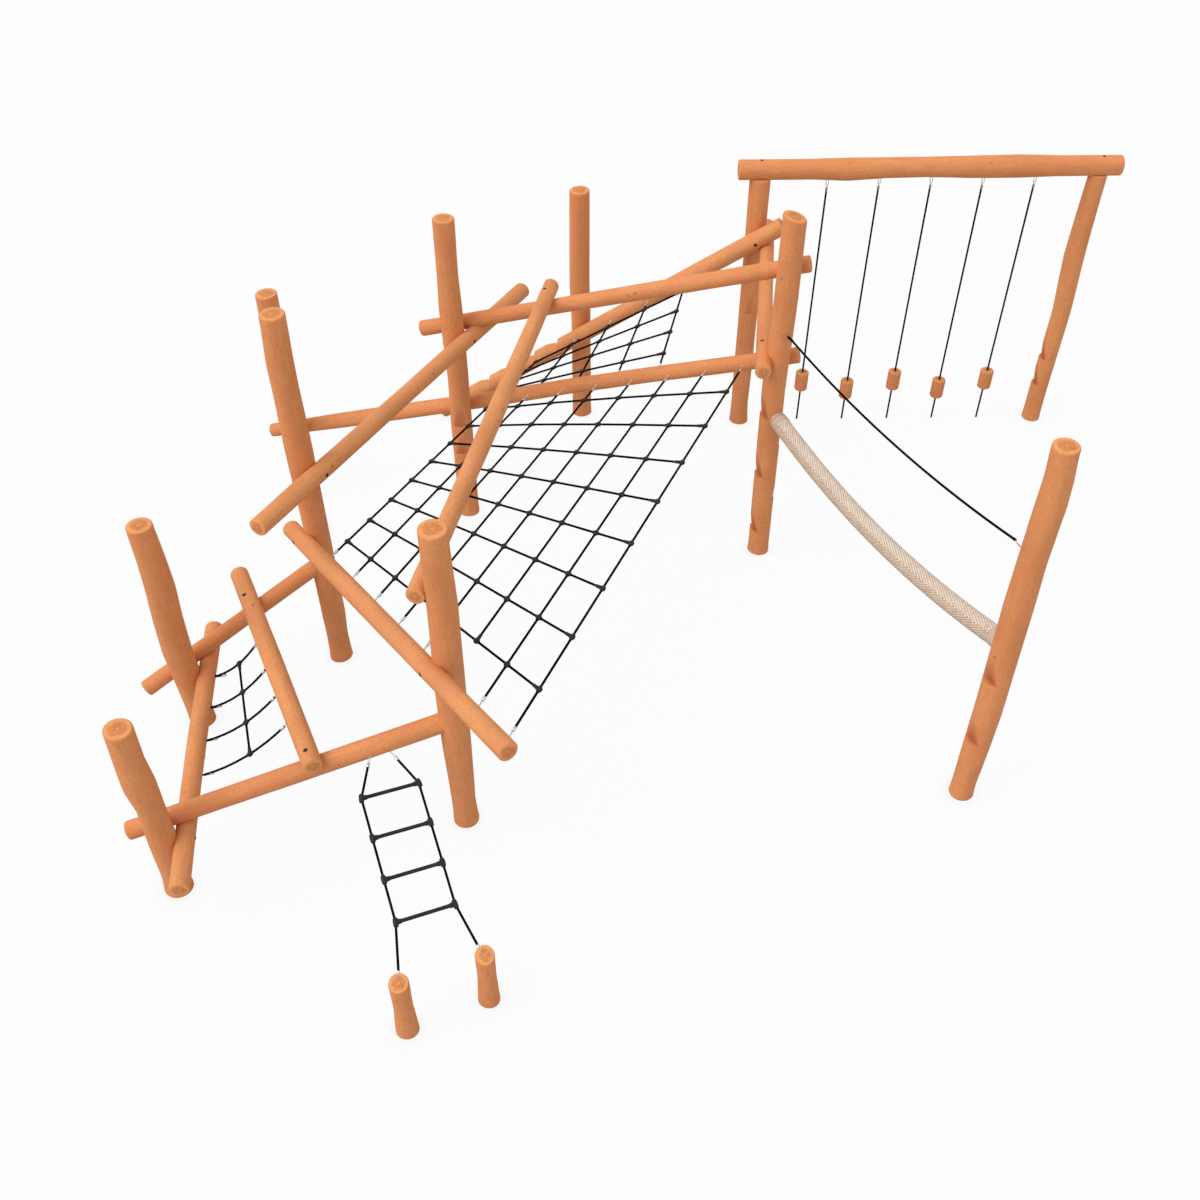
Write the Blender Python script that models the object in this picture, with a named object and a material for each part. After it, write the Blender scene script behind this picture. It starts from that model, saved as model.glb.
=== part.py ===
"""Climbing course of peeled round timber: a goal frame of hanging ropes with step blocks, a stepped
log, two climbing nets, a small hammock net, a rope ladder, and a thick balance rope with a hand rope.

Metres, +Z up, ground at z = 0. Post feet are set out from the left goal post, with X along the goal
beam and Y to the back; the whole plan is then centred on the origin. Each log is placed by the two
timbers that it bears on, and is housed around every timber that was set up before it.
"""
import math

import bmesh
import bpy
from mathutils import Matrix, Vector

# Fits
SEAT_GAP = 0.0003           # air left in every seat
SADDLE = 0.015              # how deep one round timber is housed in another
SIDE_SADDLE = 0.022         # the same for the side and crown logs
HAMMOCK_SADDLE = 0.028      # the same for the front and back logs of the hammock
NET_LOG_SADDLE = 0.034      # the same for the log under the climbing net
BORE_GAP = 0.0005           # air between a step block and its rope

# Timber
BEAM_DIAMETER = 0.165       # where the beam bears on its posts
STEP_LOG_DIAMETER = 0.154
STOUT_LOG_DIAMETER = 0.132
LOG_DIAMETER = 0.126
RIDGE_END_DIAMETER = 0.176  # post at the low end of the ridge log
SIDES = 16
RING_PITCH = 0.45           # distance between rings along an even trunk
CHAMFER = 0.012             # softened edge at sawn ends
END_SHARE = 0.9             # radius of a sawn end face as a share of the trunk's
FLARE_HEIGHT = 0.08         # flared foot of a post
FLARE_SHARE = 1.04
OVALITY = 0.025             # round timber is never quite round
SWELL = 0.025               # gentle thick and thin along a trunk

# Heights of the posts
GOAL_HEIGHTS = (2.518, 2.530)     # undersides of the beam at its two posts
TALL_HEIGHT = 3.17          # tall left post, right ridge post, balance post
MIDDLE_HEIGHT = 2.885       # middle ridge post
NET_POST_HEIGHT = 2.755     # post at the front corner of the climbing net
STEP_POST_HEIGHT = 2.35     # post under the stepped log
RIDGE_END_HEIGHT = 2.055    # post at the low end of the ridge log
HAMMOCK_BACK_HEIGHT = 1.98
HAMMOCK_FRONT_HEIGHT = 1.675
STUMP_LEFT_HEIGHT = 0.570
STUMP_RIGHT_HEIGHT = 0.527
CROWN_SLOPE = 0.25          # slanted top of the right ridge post
STUMP_SLOPE = 0.30          # slanted tops of the stumps

# Post feet on the plan, set out from the left goal post
PLAN_CENTRE = (-0.869, -3.111)
GOAL_LEFT = (0, 0)
GOAL_RIGHT = (2.904, 0.050)
STEP_POST = (-1.548, 0.133)
MIDDLE_POST = (-2.563, -1.393)
RIGHT_POST = (0.025, -1.912)
TALL_POST = (-3.468, -3.201)
HAMMOCK_BACK = (-4.437, -3.892)
HAMMOCK_FRONT = (-4.267, -5.400)
NET_POST = (-2.332, -4.819)
BALANCE_POST = (1.284, -4.585)
STUMP_LEFT = (-2.582, -6.454)
STUMP_RIGHT = (-2.081, -6.241)

# Crooked trunks: distance along the trunk, radius, and how far its heart wanders to the right
# (posts), to the side (hammock log) or upwards (beam and ridge log)
GOAL_LEFT_FORM = ((0, 0.086, 0), (0.22, 0.080, -0.003), (0.60, 0.085, 0), (1.60, 0.086, 0), (2.50, 0.090, 0))
GOAL_RIGHT_FORM = ((0, 0.084, 0), (0.35, 0.083, 0), (0.80, 0.090, 0.008), (1.20, 0.084, 0.012),
                   (1.75, 0.091, -0.017), (2.05, 0.086, -0.017), (2.50, 0.080, -0.011))
STEP_POST_FORM = ((0, 0.089, 0), (1.08, 0.089, 0), (1.42, 0.092, -0.010), (2.30, 0.088, 0))
MIDDLE_FORM = ((0, 0.088, 0), (0.95, 0.089, 0.004), (1.45, 0.085, 0.010), (2.10, 0.092, 0), (2.40, 0.082, 0),
               (2.85, 0.083, 0.006))
RIGHT_FORM = ((0, 0.090, 0), (0.38, 0.087, 0), (0.60, 0.085, -0.017), (1.18, 0.089, -0.024),
              (1.70, 0.093, -0.019), (2.50, 0.091, -0.002), (3.10, 0.089, -0.004))
TALL_FORM = ((0, 0.088, 0), (0.23, 0.083, 0), (0.48, 0.091, 0.005), (1.50, 0.092, 0), (2.10, 0.097, -0.008),
             (2.60, 0.090, -0.013), (2.80, 0.092, -0.015), (3.10, 0.086, -0.005))
HAMMOCK_BACK_FORM = ((0, 0.092, 0), (0.15, 0.094, 0), (0.80, 0.102, -0.026), (1.10, 0.101, -0.018),
                     (1.40, 0.100, 0), (1.65, 0.094, 0.001), (1.93, 0.088, -0.006))
HAMMOCK_FRONT_FORM = ((0, 0.095, -0.004), (0.18, 0.090, 0.005), (0.55, 0.095, 0.012), (0.90, 0.088, 0.017),
                      (1.13, 0.104, 0.003), (1.36, 0.093, -0.002), (1.63, 0.091, 0.007))
NET_POST_FORM = ((0, 0.091, 0), (0.22, 0.086, -0.005), (0.45, 0.091, -0.004), (0.82, 0.101, -0.006),
                 (1.40, 0.104, -0.006), (1.85, 0.100, 0.003), (2.15, 0.098, 0.007), (2.60, 0.092, 0.002))
BALANCE_FORM = ((0, 0.087, 0), (0.15, 0.086, 0), (0.55, 0.094, 0.006), (0.90, 0.097, 0.008),
                (1.40, 0.098, 0.001), (1.90, 0.096, -0.008), (2.30, 0.090, -0.012), (2.75, 0.092, -0.006),
                (2.95, 0.087, -0.010), (3.13, 0.083, -0.024))
STUMP_FORM = ((0, 0.070, 0), (0.10, 0.069, 0), (0.20, 0.064, 0.002), (0.30, 0.060, 0.003),
              (0.50, 0.062, 0.004))
BEAM_FORM = ((0, 0.0825, 0), (0.62, 0.0825, -0.002), (0.93, 0.093, -0.006), (1.25, 0.084, 0.003),
             (1.60, 0.082, 0.006), (1.95, 0.089, 0.003), (2.40, 0.093, 0.004), (2.72, 0.083, 0.002),
             (3.10, 0.0825, 0))
RIDGE_FORM = ((0, 0.058, 0), (0.45, 0.061, 0), (0.75, 0.066, 0), (1.70, 0.066, 0), (2.20, 0.063, 0),
              (2.90, 0.062, 0.014), (3.60, 0.061, 0.014), (4.20, 0.063, 0.004), (4.70, 0.063, 0))
LEFT_LOG_FORM = ((0, 0.066, 0), (0.45, 0.066, 0), (0.85, 0.067, 0.013), (1.35, 0.066, 0.014),
                 (1.90, 0.065, 0))

# Heights at which the logs cross their posts
RIDGE_AT_MIDDLE = 1.095
RIDGE_AT_RIGHT = 1.890
UPPER_AT_MIDDLE = 1.890
UPPER_AT_RIGHT = 2.690
SIDE_AT_TALL = 1.924
SIDE_AT_MIDDLE = 1.856
CROWN_AT_NET_POST = 2.255
NET_LOG_AT_TALL = 1.305
NET_LOG_AT_NET_POST = 1.642
BACK_AT_HAMMOCK = 0.508
BACK_AT_TALL = 1.022
FRONT_AT_HAMMOCK = 0.592
FRONT_AT_NET_POST = 1.090
LEFT_AT_FRONT = 0.525
LEFT_AT_BACK = 0.490
STEPS_AT_STEP_POST = 0.968
STEPS_AT_GOAL = 2.019

# Distances along a log at which another timber meets it
CROWN_ON_UPPER = 1.151
RIGHT_ON_BACK = 1.024
RIGHT_ON_FRONT = 1.326
LINK_UNDER_STEPS = 3.575
LINK_ON_RIDGE = 4.590
RIDGE_END_ON_RIDGE = 0.294

# How far each log runs on past its two bearings
BEAM_ENDS = (0.192, 0.178)
RIDGE_ENDS = (1.944, 0.167)
SIDE_ENDS = (0.694, 0.909)
UPPER_ENDS = (0.327, 0.155)
CROWN_ENDS = (0.072, 0.161)
NET_LOG_ENDS = (0.202, 0.975)
LEFT_ENDS = (0.404, 0.516)
BACK_ENDS = (0.325, 0)
FRONT_ENDS = (0.234, 0)
RIGHT_ENDS = (0.341, 0.104)
STEP_ENDS = (1.655, 0.272)
LINK_ENDS = (0.460, 0.354)

# Foot notches cut in posts, and steps cut in the stepped log
NOTCH_DEPTH = 0.042
SHALLOW_NOTCH = 0.018
NOTCH_HEIGHT = 0.22
NOTCH_TURN = 0.3            # how far the left notches of the right ridge post turn to the front
RIGHT_POST_NOTCHES = (0.245, 0.845, 1.445)
RIGHT_POST_FAR_NOTCHES = (0.585, 1.140)
BALANCE_POST_NOTCHES = (0.61, 1.23)
BALANCE_POST_FAR_NOTCHES = (0.945,)
GOAL_POST_NOTCHES = (0.40, 0.69)
STEP_COUNT = 5
STEP_FIRST = 0.30           # along the stepped log from its foot
STEP_PITCH = 0.27
STEP_DEPTH = 0.050

# Nets: the first rope and the pitch of the ropes along each of the two logs; and the first row, the
# pitch of the rows and the drop of the first row towards the last rope, as parts of a rope's length
ROPE_DIAMETER = 0.016
CLAMP_REACH = 0.022         # from the middle of a cross clamp to its rope ports
CLIMB_NET_ROPES = 8
CLIMB_NET_ROWS = 8
CLIMB_NET_ON_NET_LOG = (0.614, 0.358)
CLIMB_NET_ON_RIDGE = (2.252, 0.309)
CLIMB_NET_ROW = (0.082, 0.115, 0.020)
SHORT_ROPE = 5              # this rope stops at the lowest row, because the net post is in its way
UPPER_NET_ROPES = 5
UPPER_NET_ROWS = 4
UPPER_NET_ON_RIDGE = (2.240, 0.361)
UPPER_NET_ON_STEPS = (1.215, 0.404)
UPPER_NET_ROW = (0.150, 0.217, 0)
HAMMOCK_ROPES = 4
HAMMOCK_ON_LEFT = (0.928, 0.320)
HAMMOCK_ON_RIGHT = (1.665, -0.303)
HAMMOCK_SAG = 0.10
HAMMOCK_CROSS = 0.545       # where the cross rope runs, as a part of the way to the right

# Hanging ropes of the goal frame
HANG_COUNT = 5
HANG_FIRST = 0.578          # from the left goal post
HANG_PITCH = 0.446
HANGER_DROP = 0.060
HANGER_WIDTH = 0.020
HANGER_ROD = 0.007
BLOCK_DIAMETER = 0.125
BLOCK_HEIGHT = 0.190
BLOCK_CENTRES = (0.455, 0.355)    # odd ropes, even ropes
BLOCK_EDGE = 0.010

# Rope ladder between the front hammock log and the two stumps
LADDER_AT_LOG = 1.755
LADDER_SPREAD = 0.075       # between the two ropes at the log
LADDER_AT_STUMP = 0.045     # below the tops of the stumps
LADDER_RUNGS = 4
LADDER_HEAD = 0.337         # from the log to the first rung
LADDER_PITCH = 0.283
RUNG_LENGTH = 0.385         # between rope centres
RUNG_DIAMETER = 0.026
RUNG_CLAMP = 0.036

# Balance rope and hand rope, from the right ridge post to the balance post
BALANCE_DIAMETER = 0.140
BALANCE_HEIGHTS = (1.455, 1.525)
BALANCE_SAG = 0.147
CUFF_LENGTH = 0.030
CUFF_DIAMETER = 0.146
HAND_HEIGHTS = (2.225, 2.330)
HAND_SAG = 0.095
HOOK_LENGTH = 0.055
HOOK_DIAMETER = 0.012

UP = Vector((0, 0, 1))
LEFT, RIGHT = Vector((-1, 0, 0)), Vector((1, 0, 0))
FRONT, BACK = Vector((0, -1, 0)), Vector((0, 1, 0))


def make_material(name, colour, roughness, metallic=0.0):
    made = bpy.data.materials.new(name)
    made.use_nodes = True
    shader = made.node_tree.nodes["Principled BSDF"]
    shader.inputs["Base Color"].default_value = (*colour, 1)
    shader.inputs["Roughness"].default_value = roughness
    shader.inputs["Metallic"].default_value = metallic
    return made


def add_object(name, mesh, place, surface=None):
    """Add a piece at its place; a piece with no surface is a hidden cutter."""
    bmesh.ops.recalc_face_normals(mesh, faces=mesh.faces)
    data = bpy.data.meshes.new(name)
    mesh.to_mesh(data)
    mesh.free()
    made = bpy.data.objects.new(name, data)
    bpy.context.scene.collection.objects.link(made)
    made.matrix_world = place if isinstance(place, Matrix) else Matrix.Translation(place)
    if surface:
        data.materials.append(surface)
        made.parent = course
    else:
        made.hide_render = True
        made.display_type = "WIRE"
    return made


def cut(target, cutter):
    modifier = target.modifiers.new("cut_" + cutter.name, "BOOLEAN")
    modifier.operation = "DIFFERENCE"
    modifier.solver = "EXACT"
    modifier.object = cutter


def axes_frame(origin, x, y, z):
    return Matrix.Translation(origin) @ Matrix((x, y, z)).transposed().to_4x4()


def circle(mesh, centre, side, rise, radius, sides):
    turns = [math.tau * k / sides for k in range(sides)]
    return [mesh.verts.new(centre + (side * math.cos(t) + rise * math.sin(t)) * radius) for t in turns]


def skin(mesh, rings):
    """Side faces between rings of equal count, and the two end faces."""
    for lower, upper in zip(rings, rings[1:]):
        for i, vert in enumerate(lower):
            j = (i + 1) % len(lower)
            mesh.faces.new((vert, lower[j], upper[j], upper[i]))
    mesh.faces.new(rings[0][::-1])
    mesh.faces.new(rings[-1])


def prism(mesh, corners, across):
    """Add a straight prism with the given outline, reaching equally to both sides of it."""
    skin(mesh, [[mesh.verts.new(corner - across) for corner in corners],
                [mesh.verts.new(corner + across) for corner in corners]])


def tube_mesh(points, radius, sides, square_to=None):
    """Rope or rod along a path from its first point; square_to turns both ends square to it."""
    made = bmesh.new()
    rings = []
    side = None
    for i, point in enumerate(points):
        along = (points[min(len(points) - 1, i + 1)] - points[max(0, i - 1)]).normalized()
        if square_to and i in (0, len(points) - 1):
            along = square_to
        side = side or along.orthogonal()
        side = (side - along * side.dot(along)).normalized()
        rings.append(circle(made, point - points[0], side, along.cross(side), radius, sides))
    skin(made, rings)
    return made


def turned_mesh(stops, sides):
    """A bar along X through (distance, radius) stops."""
    made = bmesh.new()
    skin(made, [circle(made, RIGHT * place, BACK, UP, radius, sides) for place, radius in stops])
    return made


def ring_mesh(profile, sides):
    """A closed profile of (radius, height) points turned about a vertical axis."""
    made = bmesh.new()
    rings = [circle(made, UP * height, RIGHT, BACK, radius, sides) for radius, height in profile]
    for lower, upper in zip(rings, rings[1:] + rings[:1]):
        for i, vert in enumerate(lower):
            j = (i + 1) % sides
            made.faces.new((vert, lower[j], upper[j], upper[i]))
    return made


def web_mesh(points, links, radius):
    """Ropes between numbered points: a clamp where ropes meet, a plain end where one stops."""
    made = bmesh.new()
    ports = [[] for _ in points]
    for a, b in links:
        along = (points[b] - points[a]).normalized()
        side = (UP - along * along.z).normalized()
        rings = []
        for number, sign in ((a, 1), (b, -1)):
            met = sum(number in link for link in links) > 1
            centre = points[number] - points[0] + along * sign * (CLAMP_REACH if met else 0)
            rings.append(circle(made, centre, side, along.cross(side), radius, 6))
            ports[number].append(rings[-1])
        for i in range(6):
            j = (i + 1) % 6
            made.faces.new((rings[0][i], rings[0][j], rings[1][j], rings[1][i]))
    for rings in ports:
        if len(rings) == 1:
            made.faces.new(rings[0])
            continue
        hull = bmesh.ops.convex_hull(made, input=[vert for ring in rings for vert in ring])
        faces = [item for item in hull["geom"] if isinstance(item, bmesh.types.BMFace)]
        mouths = [face for face in faces if any(all(v in ring for v in face.verts) for ring in rings)]
        bmesh.ops.delete(made, geom=mouths, context="FACES")
    return made


def interpolate(pairs, place):
    for (a, left), (b, right) in zip(pairs, pairs[1:]):
        if place <= b:
            return left + (right - left) * max(0, (place - a) / (b - a))
    return pairs[-1][1]


class Trunk:
    """Round timber along a nearly straight axis, with its swells, its bows and softened ends."""
    count = 0

    def __init__(self, name, start, end, diameter, form=(), crown=(0, 0), arched=False):
        Trunk.count += 1
        self.name, self.start, self.diameter = name, start, diameter
        self.length = (end - start).length
        self.direction = (end - start).normalized()
        self.girth = [(place, radius) for place, radius, _ in form]
        self.bow = [(place, offset) for place, _, offset in form] or [(0, 0)]
        self.crown = crown          # slope of the top along X and Y
        self.upright = abs(self.direction.z) > 0.9
        self.phase = 1.7 * Trunk.count
        self.side = RIGHT if self.upright else UP.cross(self.direction).normalized()
        self.rise = self.direction.cross(self.side)
        self.bow_axis = self.rise if arched else self.side
        self.frame = axes_frame(start, self.side, self.rise, self.direction)

    def at(self, distance):
        """A point of the heart of the trunk."""
        return self.start + self.direction * distance + self.bow_axis * interpolate(self.bow, distance)

    def radius(self, distance):
        if self.girth:
            return interpolate(self.girth, distance)
        return self.diameter / 2 * (1 + SWELL * math.sin(2.1 * distance + self.phase))

    def stations(self):
        """Distances of the rings along the axis, each with its share of the radius."""
        count = max(2, round(self.length / RING_PITCH))
        inner = [place for place, _ in self.girth] or [self.length * i / count for i in range(1, count)]
        first = [(0, FLARE_SHARE), (FLARE_HEIGHT, 1.0)] if self.upright else [(0, END_SHARE), (CHAMFER, 1.0)]
        last = [(self.length - CHAMFER, 1.0), (self.length, END_SHARE)]
        inner = [(place, 1.0) for place in inner if first[-1][0] < place < last[0][0]]
        return first + inner + last

    def mesh(self, extra=0.0):
        """The trunk along its own Z, or with extra the room that it needs in a neighbour."""
        made = bmesh.new()
        rings = []
        stations = self.stations()
        for number, (distance, factor) in enumerate(stations):
            radius = self.radius(distance) * factor + extra
            heart = self.at(distance) - self.start
            height = distance + {0: -extra, len(stations) - 1: extra}.get(number, 0)
            slope = self.crown if number >= len(stations) - 2 else (0, 0)
            ring = []
            for i in range(SIDES):
                angle = math.tau * (i + 0.5) / SIDES
                reach = radius * (1 + OVALITY * math.cos(2 * angle + self.phase))
                x, y = reach * math.cos(angle), reach * math.sin(angle)
                ring.append(made.verts.new((heart.dot(self.side) + x, heart.dot(self.rise) + y,
                                            height + x * slope[0] + y * slope[1])))
            rings.append(ring)
        skin(made, rings)
        return made

    def clearance(self, other):
        """Shortest distance between two trunk axes, less both radii."""
        gaps = []
        for k in range(101):
            distance = self.length * k / 100
            point = self.at(distance)
            along = min(max((point - other.start).dot(other.direction), 0), other.length)
            gaps.append((point - other.at(along)).length - self.radius(distance) - other.radius(along))
        return min(gaps)


def stand(name, foot, height, form, crown=(0, 0)):
    base = Vector((foot[0] - PLAN_CENTRE[0], foot[1] - PLAN_CENTRE[1], 0))
    return Trunk(name, base, base + UP * height, 2 * form[0][1], form, crown)


def seat(bearing, direction, radius, saddle):
    """Where the axis of a log passes a timber: beside it on the given side, or straight into it."""
    trunk, distance, side = bearing
    centre = trunk.at(distance)
    if side is None:
        return centre
    out = trunk.direction.cross(direction).normalized()
    if out.dot(side) < 0:
        out.negate()
    return centre + out * (trunk.radius(distance) + radius - saddle)


def lay(name, diameter, first, second, ends, saddle=SADDLE, form=(), arched=False):
    """A log across two bearings, each a timber, a distance along it and a side of it."""
    start, end = first[0].at(first[1]), second[0].at(second[1])
    for _ in range(8):
        direction = (end - start).normalized()
        start = seat(first, direction, diameter / 2, saddle)
        end = seat(second, direction, diameter / 2, saddle)
    return Trunk(name, start - direction * ends[0], end + direction * ends[1], diameter, form, arched=arched)


def stand_against(name, log, distance, side, height, diameter):
    """A post beside a log that already has its place."""
    out = UP.cross(log.direction).normalized()
    if out.dot(side) < 0:
        out.negate()
    foot = log.at(distance) + out * ((log.diameter + diameter) / 2 - SADDLE)
    foot.z = 0
    return Trunk(name, foot, foot + UP * height, diameter)


def cut_notches(post, heights, side, depth):
    """Wedges that leave a level tread at each height and run out up the post."""
    made = bmesh.new()
    for height in heights:
        surface, top = post.radius(height), height + NOTCH_HEIGHT
        low, high = post.at(height) - post.start, post.at(top) - post.start
        prism(made, [low + side * (surface - depth), low + side * (surface + 0.08),
                     high + side * (post.radius(top) + 0.08), high + side * post.radius(top)],
              UP.cross(side) * post.diameter)
    cut(objects[post.name], add_object("notches_" + post.name, made, post.start))


def cut_steps(log):
    """Boxes that leave a level tread and an upright riser for each step, and a level foot."""
    made = bmesh.new()
    down = Vector((-log.direction.x, -log.direction.y, 0)).normalized()
    width = log.side * log.diameter
    for number in range(STEP_COUNT):
        place = STEP_FIRST + STEP_PITCH * number
        corner = log.at(place) + log.rise * (log.radius(place) - STEP_DEPTH)
        prism(made, [corner, corner + down * 0.2, corner + (down + UP) * 0.2, corner + UP * 0.2], width)
    foot = Vector((log.start.x, log.start.y, 0)) + down * 0.4
    prism(made, [foot, foot - down * 0.8, foot - down * 0.8 - UP * 0.4, foot - UP * 0.4], width)
    cut(objects[log.name], add_object("step_notches", made, Vector()))


def sagging(start, end, sag, parts):
    """Points of a hanging line at the given parts of the way."""
    return [start.lerp(end, part) - UP * sag * 4 * part * (1 - part) for part in parts]


def straight_net(low_log, low, high_log, high, ropes, rows, row, short=None):
    """Points and links of a net of straight ropes between two logs, numbered rope by rope."""
    points, links, numbers = [], [], {}
    for rope in range(ropes):
        top = high_log.at(high[0] + high[1] * rope)
        foot = low_log.at(low[0] + low[1] * rope)
        drop = row[2] * rope / (ropes - 1)
        places = [row[0] + row[1] * k + drop * (1 - k / (rows - 1)) for k in range(rows)]
        for k, place in enumerate([0] + places + ([] if rope == short else [1])):
            numbers[rope, k] = len(points)
            points.append(top.lerp(foot, place))
            if k:
                links.append((numbers[rope, k - 1], numbers[rope, k]))
            if rope and 1 <= k <= rows:
                links.append((numbers[rope - 1, k], numbers[rope, k]))
    return points, links


def hammock_net(left_log, right_log):
    """Points and links of sagging ropes between two logs, and of one rope across them."""
    points, links, crossings = [], [], []
    parts = (0, HAMMOCK_CROSS / 2, HAMMOCK_CROSS, (1 + HAMMOCK_CROSS) / 2, 1)
    for rope in range(HAMMOCK_ROPES):
        first = len(points)
        points += sagging(left_log.at(HAMMOCK_ON_LEFT[0] + HAMMOCK_ON_LEFT[1] * rope),
                          right_log.at(HAMMOCK_ON_RIGHT[0] + HAMMOCK_ON_RIGHT[1] * rope), HAMMOCK_SAG, parts)
        links += [(first + k, first + k + 1) for k in range(4)]
        crossings.append(first + 2)
    return points, links + list(zip(crossings, crossings[1:]))


def add_net(name, web, bearers):
    """A net as one solid, stopped at the timbers that carry it."""
    points, links = web
    made = add_object(name, web_mesh(points, links, ROPE_DIAMETER / 2), points[0], black_rope)
    for bearer in bearers:
        cut(made, rooms[bearer.name])


def add_hanging_rope(number, beam):
    """A rope from a bent rod under the beam down to the ground, with its step block."""
    place = BEAM_ENDS[0] + HANG_FIRST + HANG_PITCH * (number - 1)
    bottom = beam.at(place) - UP * (beam.radius(place) + HANGER_DROP)
    bend_radius = HANGER_WIDTH / 2
    bend = [bottom + beam.direction * bend_radius * math.sin(t) + UP * bend_radius * (1 - math.cos(t))
            for t in (math.pi * k / 8 for k in range(-4, 5))]
    leg = UP * (HANGER_DROP + beam.diameter / 4 - bend_radius)
    rod = [bend[0] + leg] + bend + [bend[-1] + leg]
    hanger = add_object("rope_hanger_%d" % number, tube_mesh(rod, HANGER_ROD / 2, 6), rod[0], steel)
    cut(hanger, rooms[beam.name])

    rope_top = bottom - UP * (HANGER_ROD / 2 + SEAT_GAP)
    rope_foot = Vector((rope_top.x, rope_top.y, 0))
    rope = tube_mesh([rope_foot, rope_top], ROPE_DIAMETER / 2, 8)
    add_object("hanging_rope_%d" % number, rope, rope_foot, black_rope)

    bore = (ROPE_DIAMETER / 2 + BORE_GAP) / math.cos(math.pi / 16)
    outer, half = BLOCK_DIAMETER / 2, BLOCK_HEIGHT / 2
    profile = [(bore, -half), (outer - BLOCK_EDGE, -half), (outer, BLOCK_EDGE - half),
               (outer, half - BLOCK_EDGE), (outer - BLOCK_EDGE, half), (bore, half)]
    centre = rope_foot + UP * BLOCK_CENTRES[(number - 1) % 2]
    add_object("step_block_%d" % number, ring_mesh(profile, 16), centre, block_wood)


def add_ladder(log, stumps):
    """Side ropes from the log to the stumps, and rungs clamped round them."""
    head = log.at(LADDER_AT_LOG)
    feet = [stump.at(stump.length - LADDER_AT_STUMP) for stump in stumps]
    across = (feet[1] - feet[0]).normalized()
    down = ((feet[0] + feet[1]) / 2 - head).normalized()
    rungs = [head + down * (LADDER_HEAD + LADDER_PITCH * k) for k in range(LADDER_RUNGS)]
    rope_rooms = []
    for hand, name, stump, foot in zip((-1, 1), ("left", "right"), stumps, feet):
        path = [log.at(LADDER_AT_LOG + hand * LADDER_SPREAD / 2)]
        path += [rung + across * hand * RUNG_LENGTH / 2 for rung in rungs] + [foot]
        rope = add_object("ladder_rope_" + name, tube_mesh(path, ROPE_DIAMETER / 2, 8), path[0], black_rope)
        cut(rope, rooms[log.name])
        cut(rope, rooms[stump.name])
        room = tube_mesh(path, ROPE_DIAMETER / 2 + SEAT_GAP, 8)
        rope_rooms.append(add_object("room_ladder_rope_" + name, room, path[0]))
    arm, clamp, neck = RUNG_LENGTH / 2, RUNG_CLAMP / 2, RUNG_CLAMP * 0.65
    stops = [(-arm - clamp, clamp), (-arm + clamp, clamp), (-arm + neck, RUNG_DIAMETER / 2),
             (arm - neck, RUNG_DIAMETER / 2), (arm - clamp, clamp), (arm + clamp, clamp)]
    square = across.cross(down).normalized()
    for number, centre in enumerate(rungs, 1):
        place = axes_frame(centre, across, square.cross(across), square)
        rung = add_object("ladder_rung_%d" % number, turned_mesh(stops, 10), place, plastic)
        for room in rope_rooms:
            cut(rung, room)


def add_span(name, posts, heights, sag, fitting, radius, sides, count, surface):
    """A sagging rope between two posts, short of each by its end fitting; returns the fittings' places."""
    level = (posts[1].start - posts[0].start).normalized()
    faces = [posts[0].at(heights[0]) + level * posts[0].radius(heights[0]),
             posts[1].at(heights[1]) - level * posts[1].radius(heights[1])]
    chord = (faces[1] - faces[0]).normalized()
    ends = [faces[0] + chord * fitting, faces[1] - chord * fitting]
    path = sagging(ends[0] + chord * SEAT_GAP, ends[1] - chord * SEAT_GAP, sag,
                   [k / count for k in range(count + 1)])
    add_object(name, tube_mesh(path, radius, sides, chord), path[0], surface)
    return [(posts[0], ends[0], -chord), (posts[1], ends[1], chord)]


def add_fittings(name, fittings, radius, sides, surface):
    """Short rods that carry the ends of a span, each stopped at its post."""
    for where, (post, end, inward) in zip(("start", "end"), fittings):
        rod = [end, end + inward * post.diameter / 2]
        made = add_object("%s_%s" % (name, where), tube_mesh(rod, radius, sides), end, surface)
        cut(made, rooms[post.name])


for old in list(bpy.data.objects):
    bpy.data.objects.remove(old)
course = bpy.data.objects.new("course", None)
bpy.context.scene.collection.objects.link(course)

wood = make_material("oiled_wood", (0.55, 0.23, 0.09), 0.65)
block_wood = make_material("block_wood", (0.50, 0.20, 0.08), 0.6)
black_rope = make_material("black_rope", (0.012, 0.012, 0.013), 0.85)
pale_rope = make_material("pale_rope", (0.60, 0.48, 0.37), 0.9)
plastic = make_material("grey_plastic", (0.03, 0.03, 0.033), 0.55)
steel = make_material("galvanised_steel", (0.55, 0.56, 0.57), 0.4, 1.0)

# Posts
goal_left = stand("goal_post_left", GOAL_LEFT, GOAL_HEIGHTS[0] + SADDLE, GOAL_LEFT_FORM)
goal_right = stand("goal_post_right", GOAL_RIGHT, GOAL_HEIGHTS[1] + SADDLE, GOAL_RIGHT_FORM)
step_post = stand("step_post", STEP_POST, STEP_POST_HEIGHT, STEP_POST_FORM)
middle_post = stand("ridge_post_middle", MIDDLE_POST, MIDDLE_HEIGHT, MIDDLE_FORM)
right_post = stand("ridge_post_right", RIGHT_POST, TALL_HEIGHT, RIGHT_FORM, (-CROWN_SLOPE, 0))
tall_post = stand("tall_post_left", TALL_POST, TALL_HEIGHT, TALL_FORM)
hammock_back = stand("hammock_post_back", HAMMOCK_BACK, HAMMOCK_BACK_HEIGHT, HAMMOCK_BACK_FORM)
hammock_front = stand("hammock_post_front", HAMMOCK_FRONT, HAMMOCK_FRONT_HEIGHT, HAMMOCK_FRONT_FORM)
net_post = stand("net_post_front", NET_POST, NET_POST_HEIGHT, NET_POST_FORM)
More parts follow.
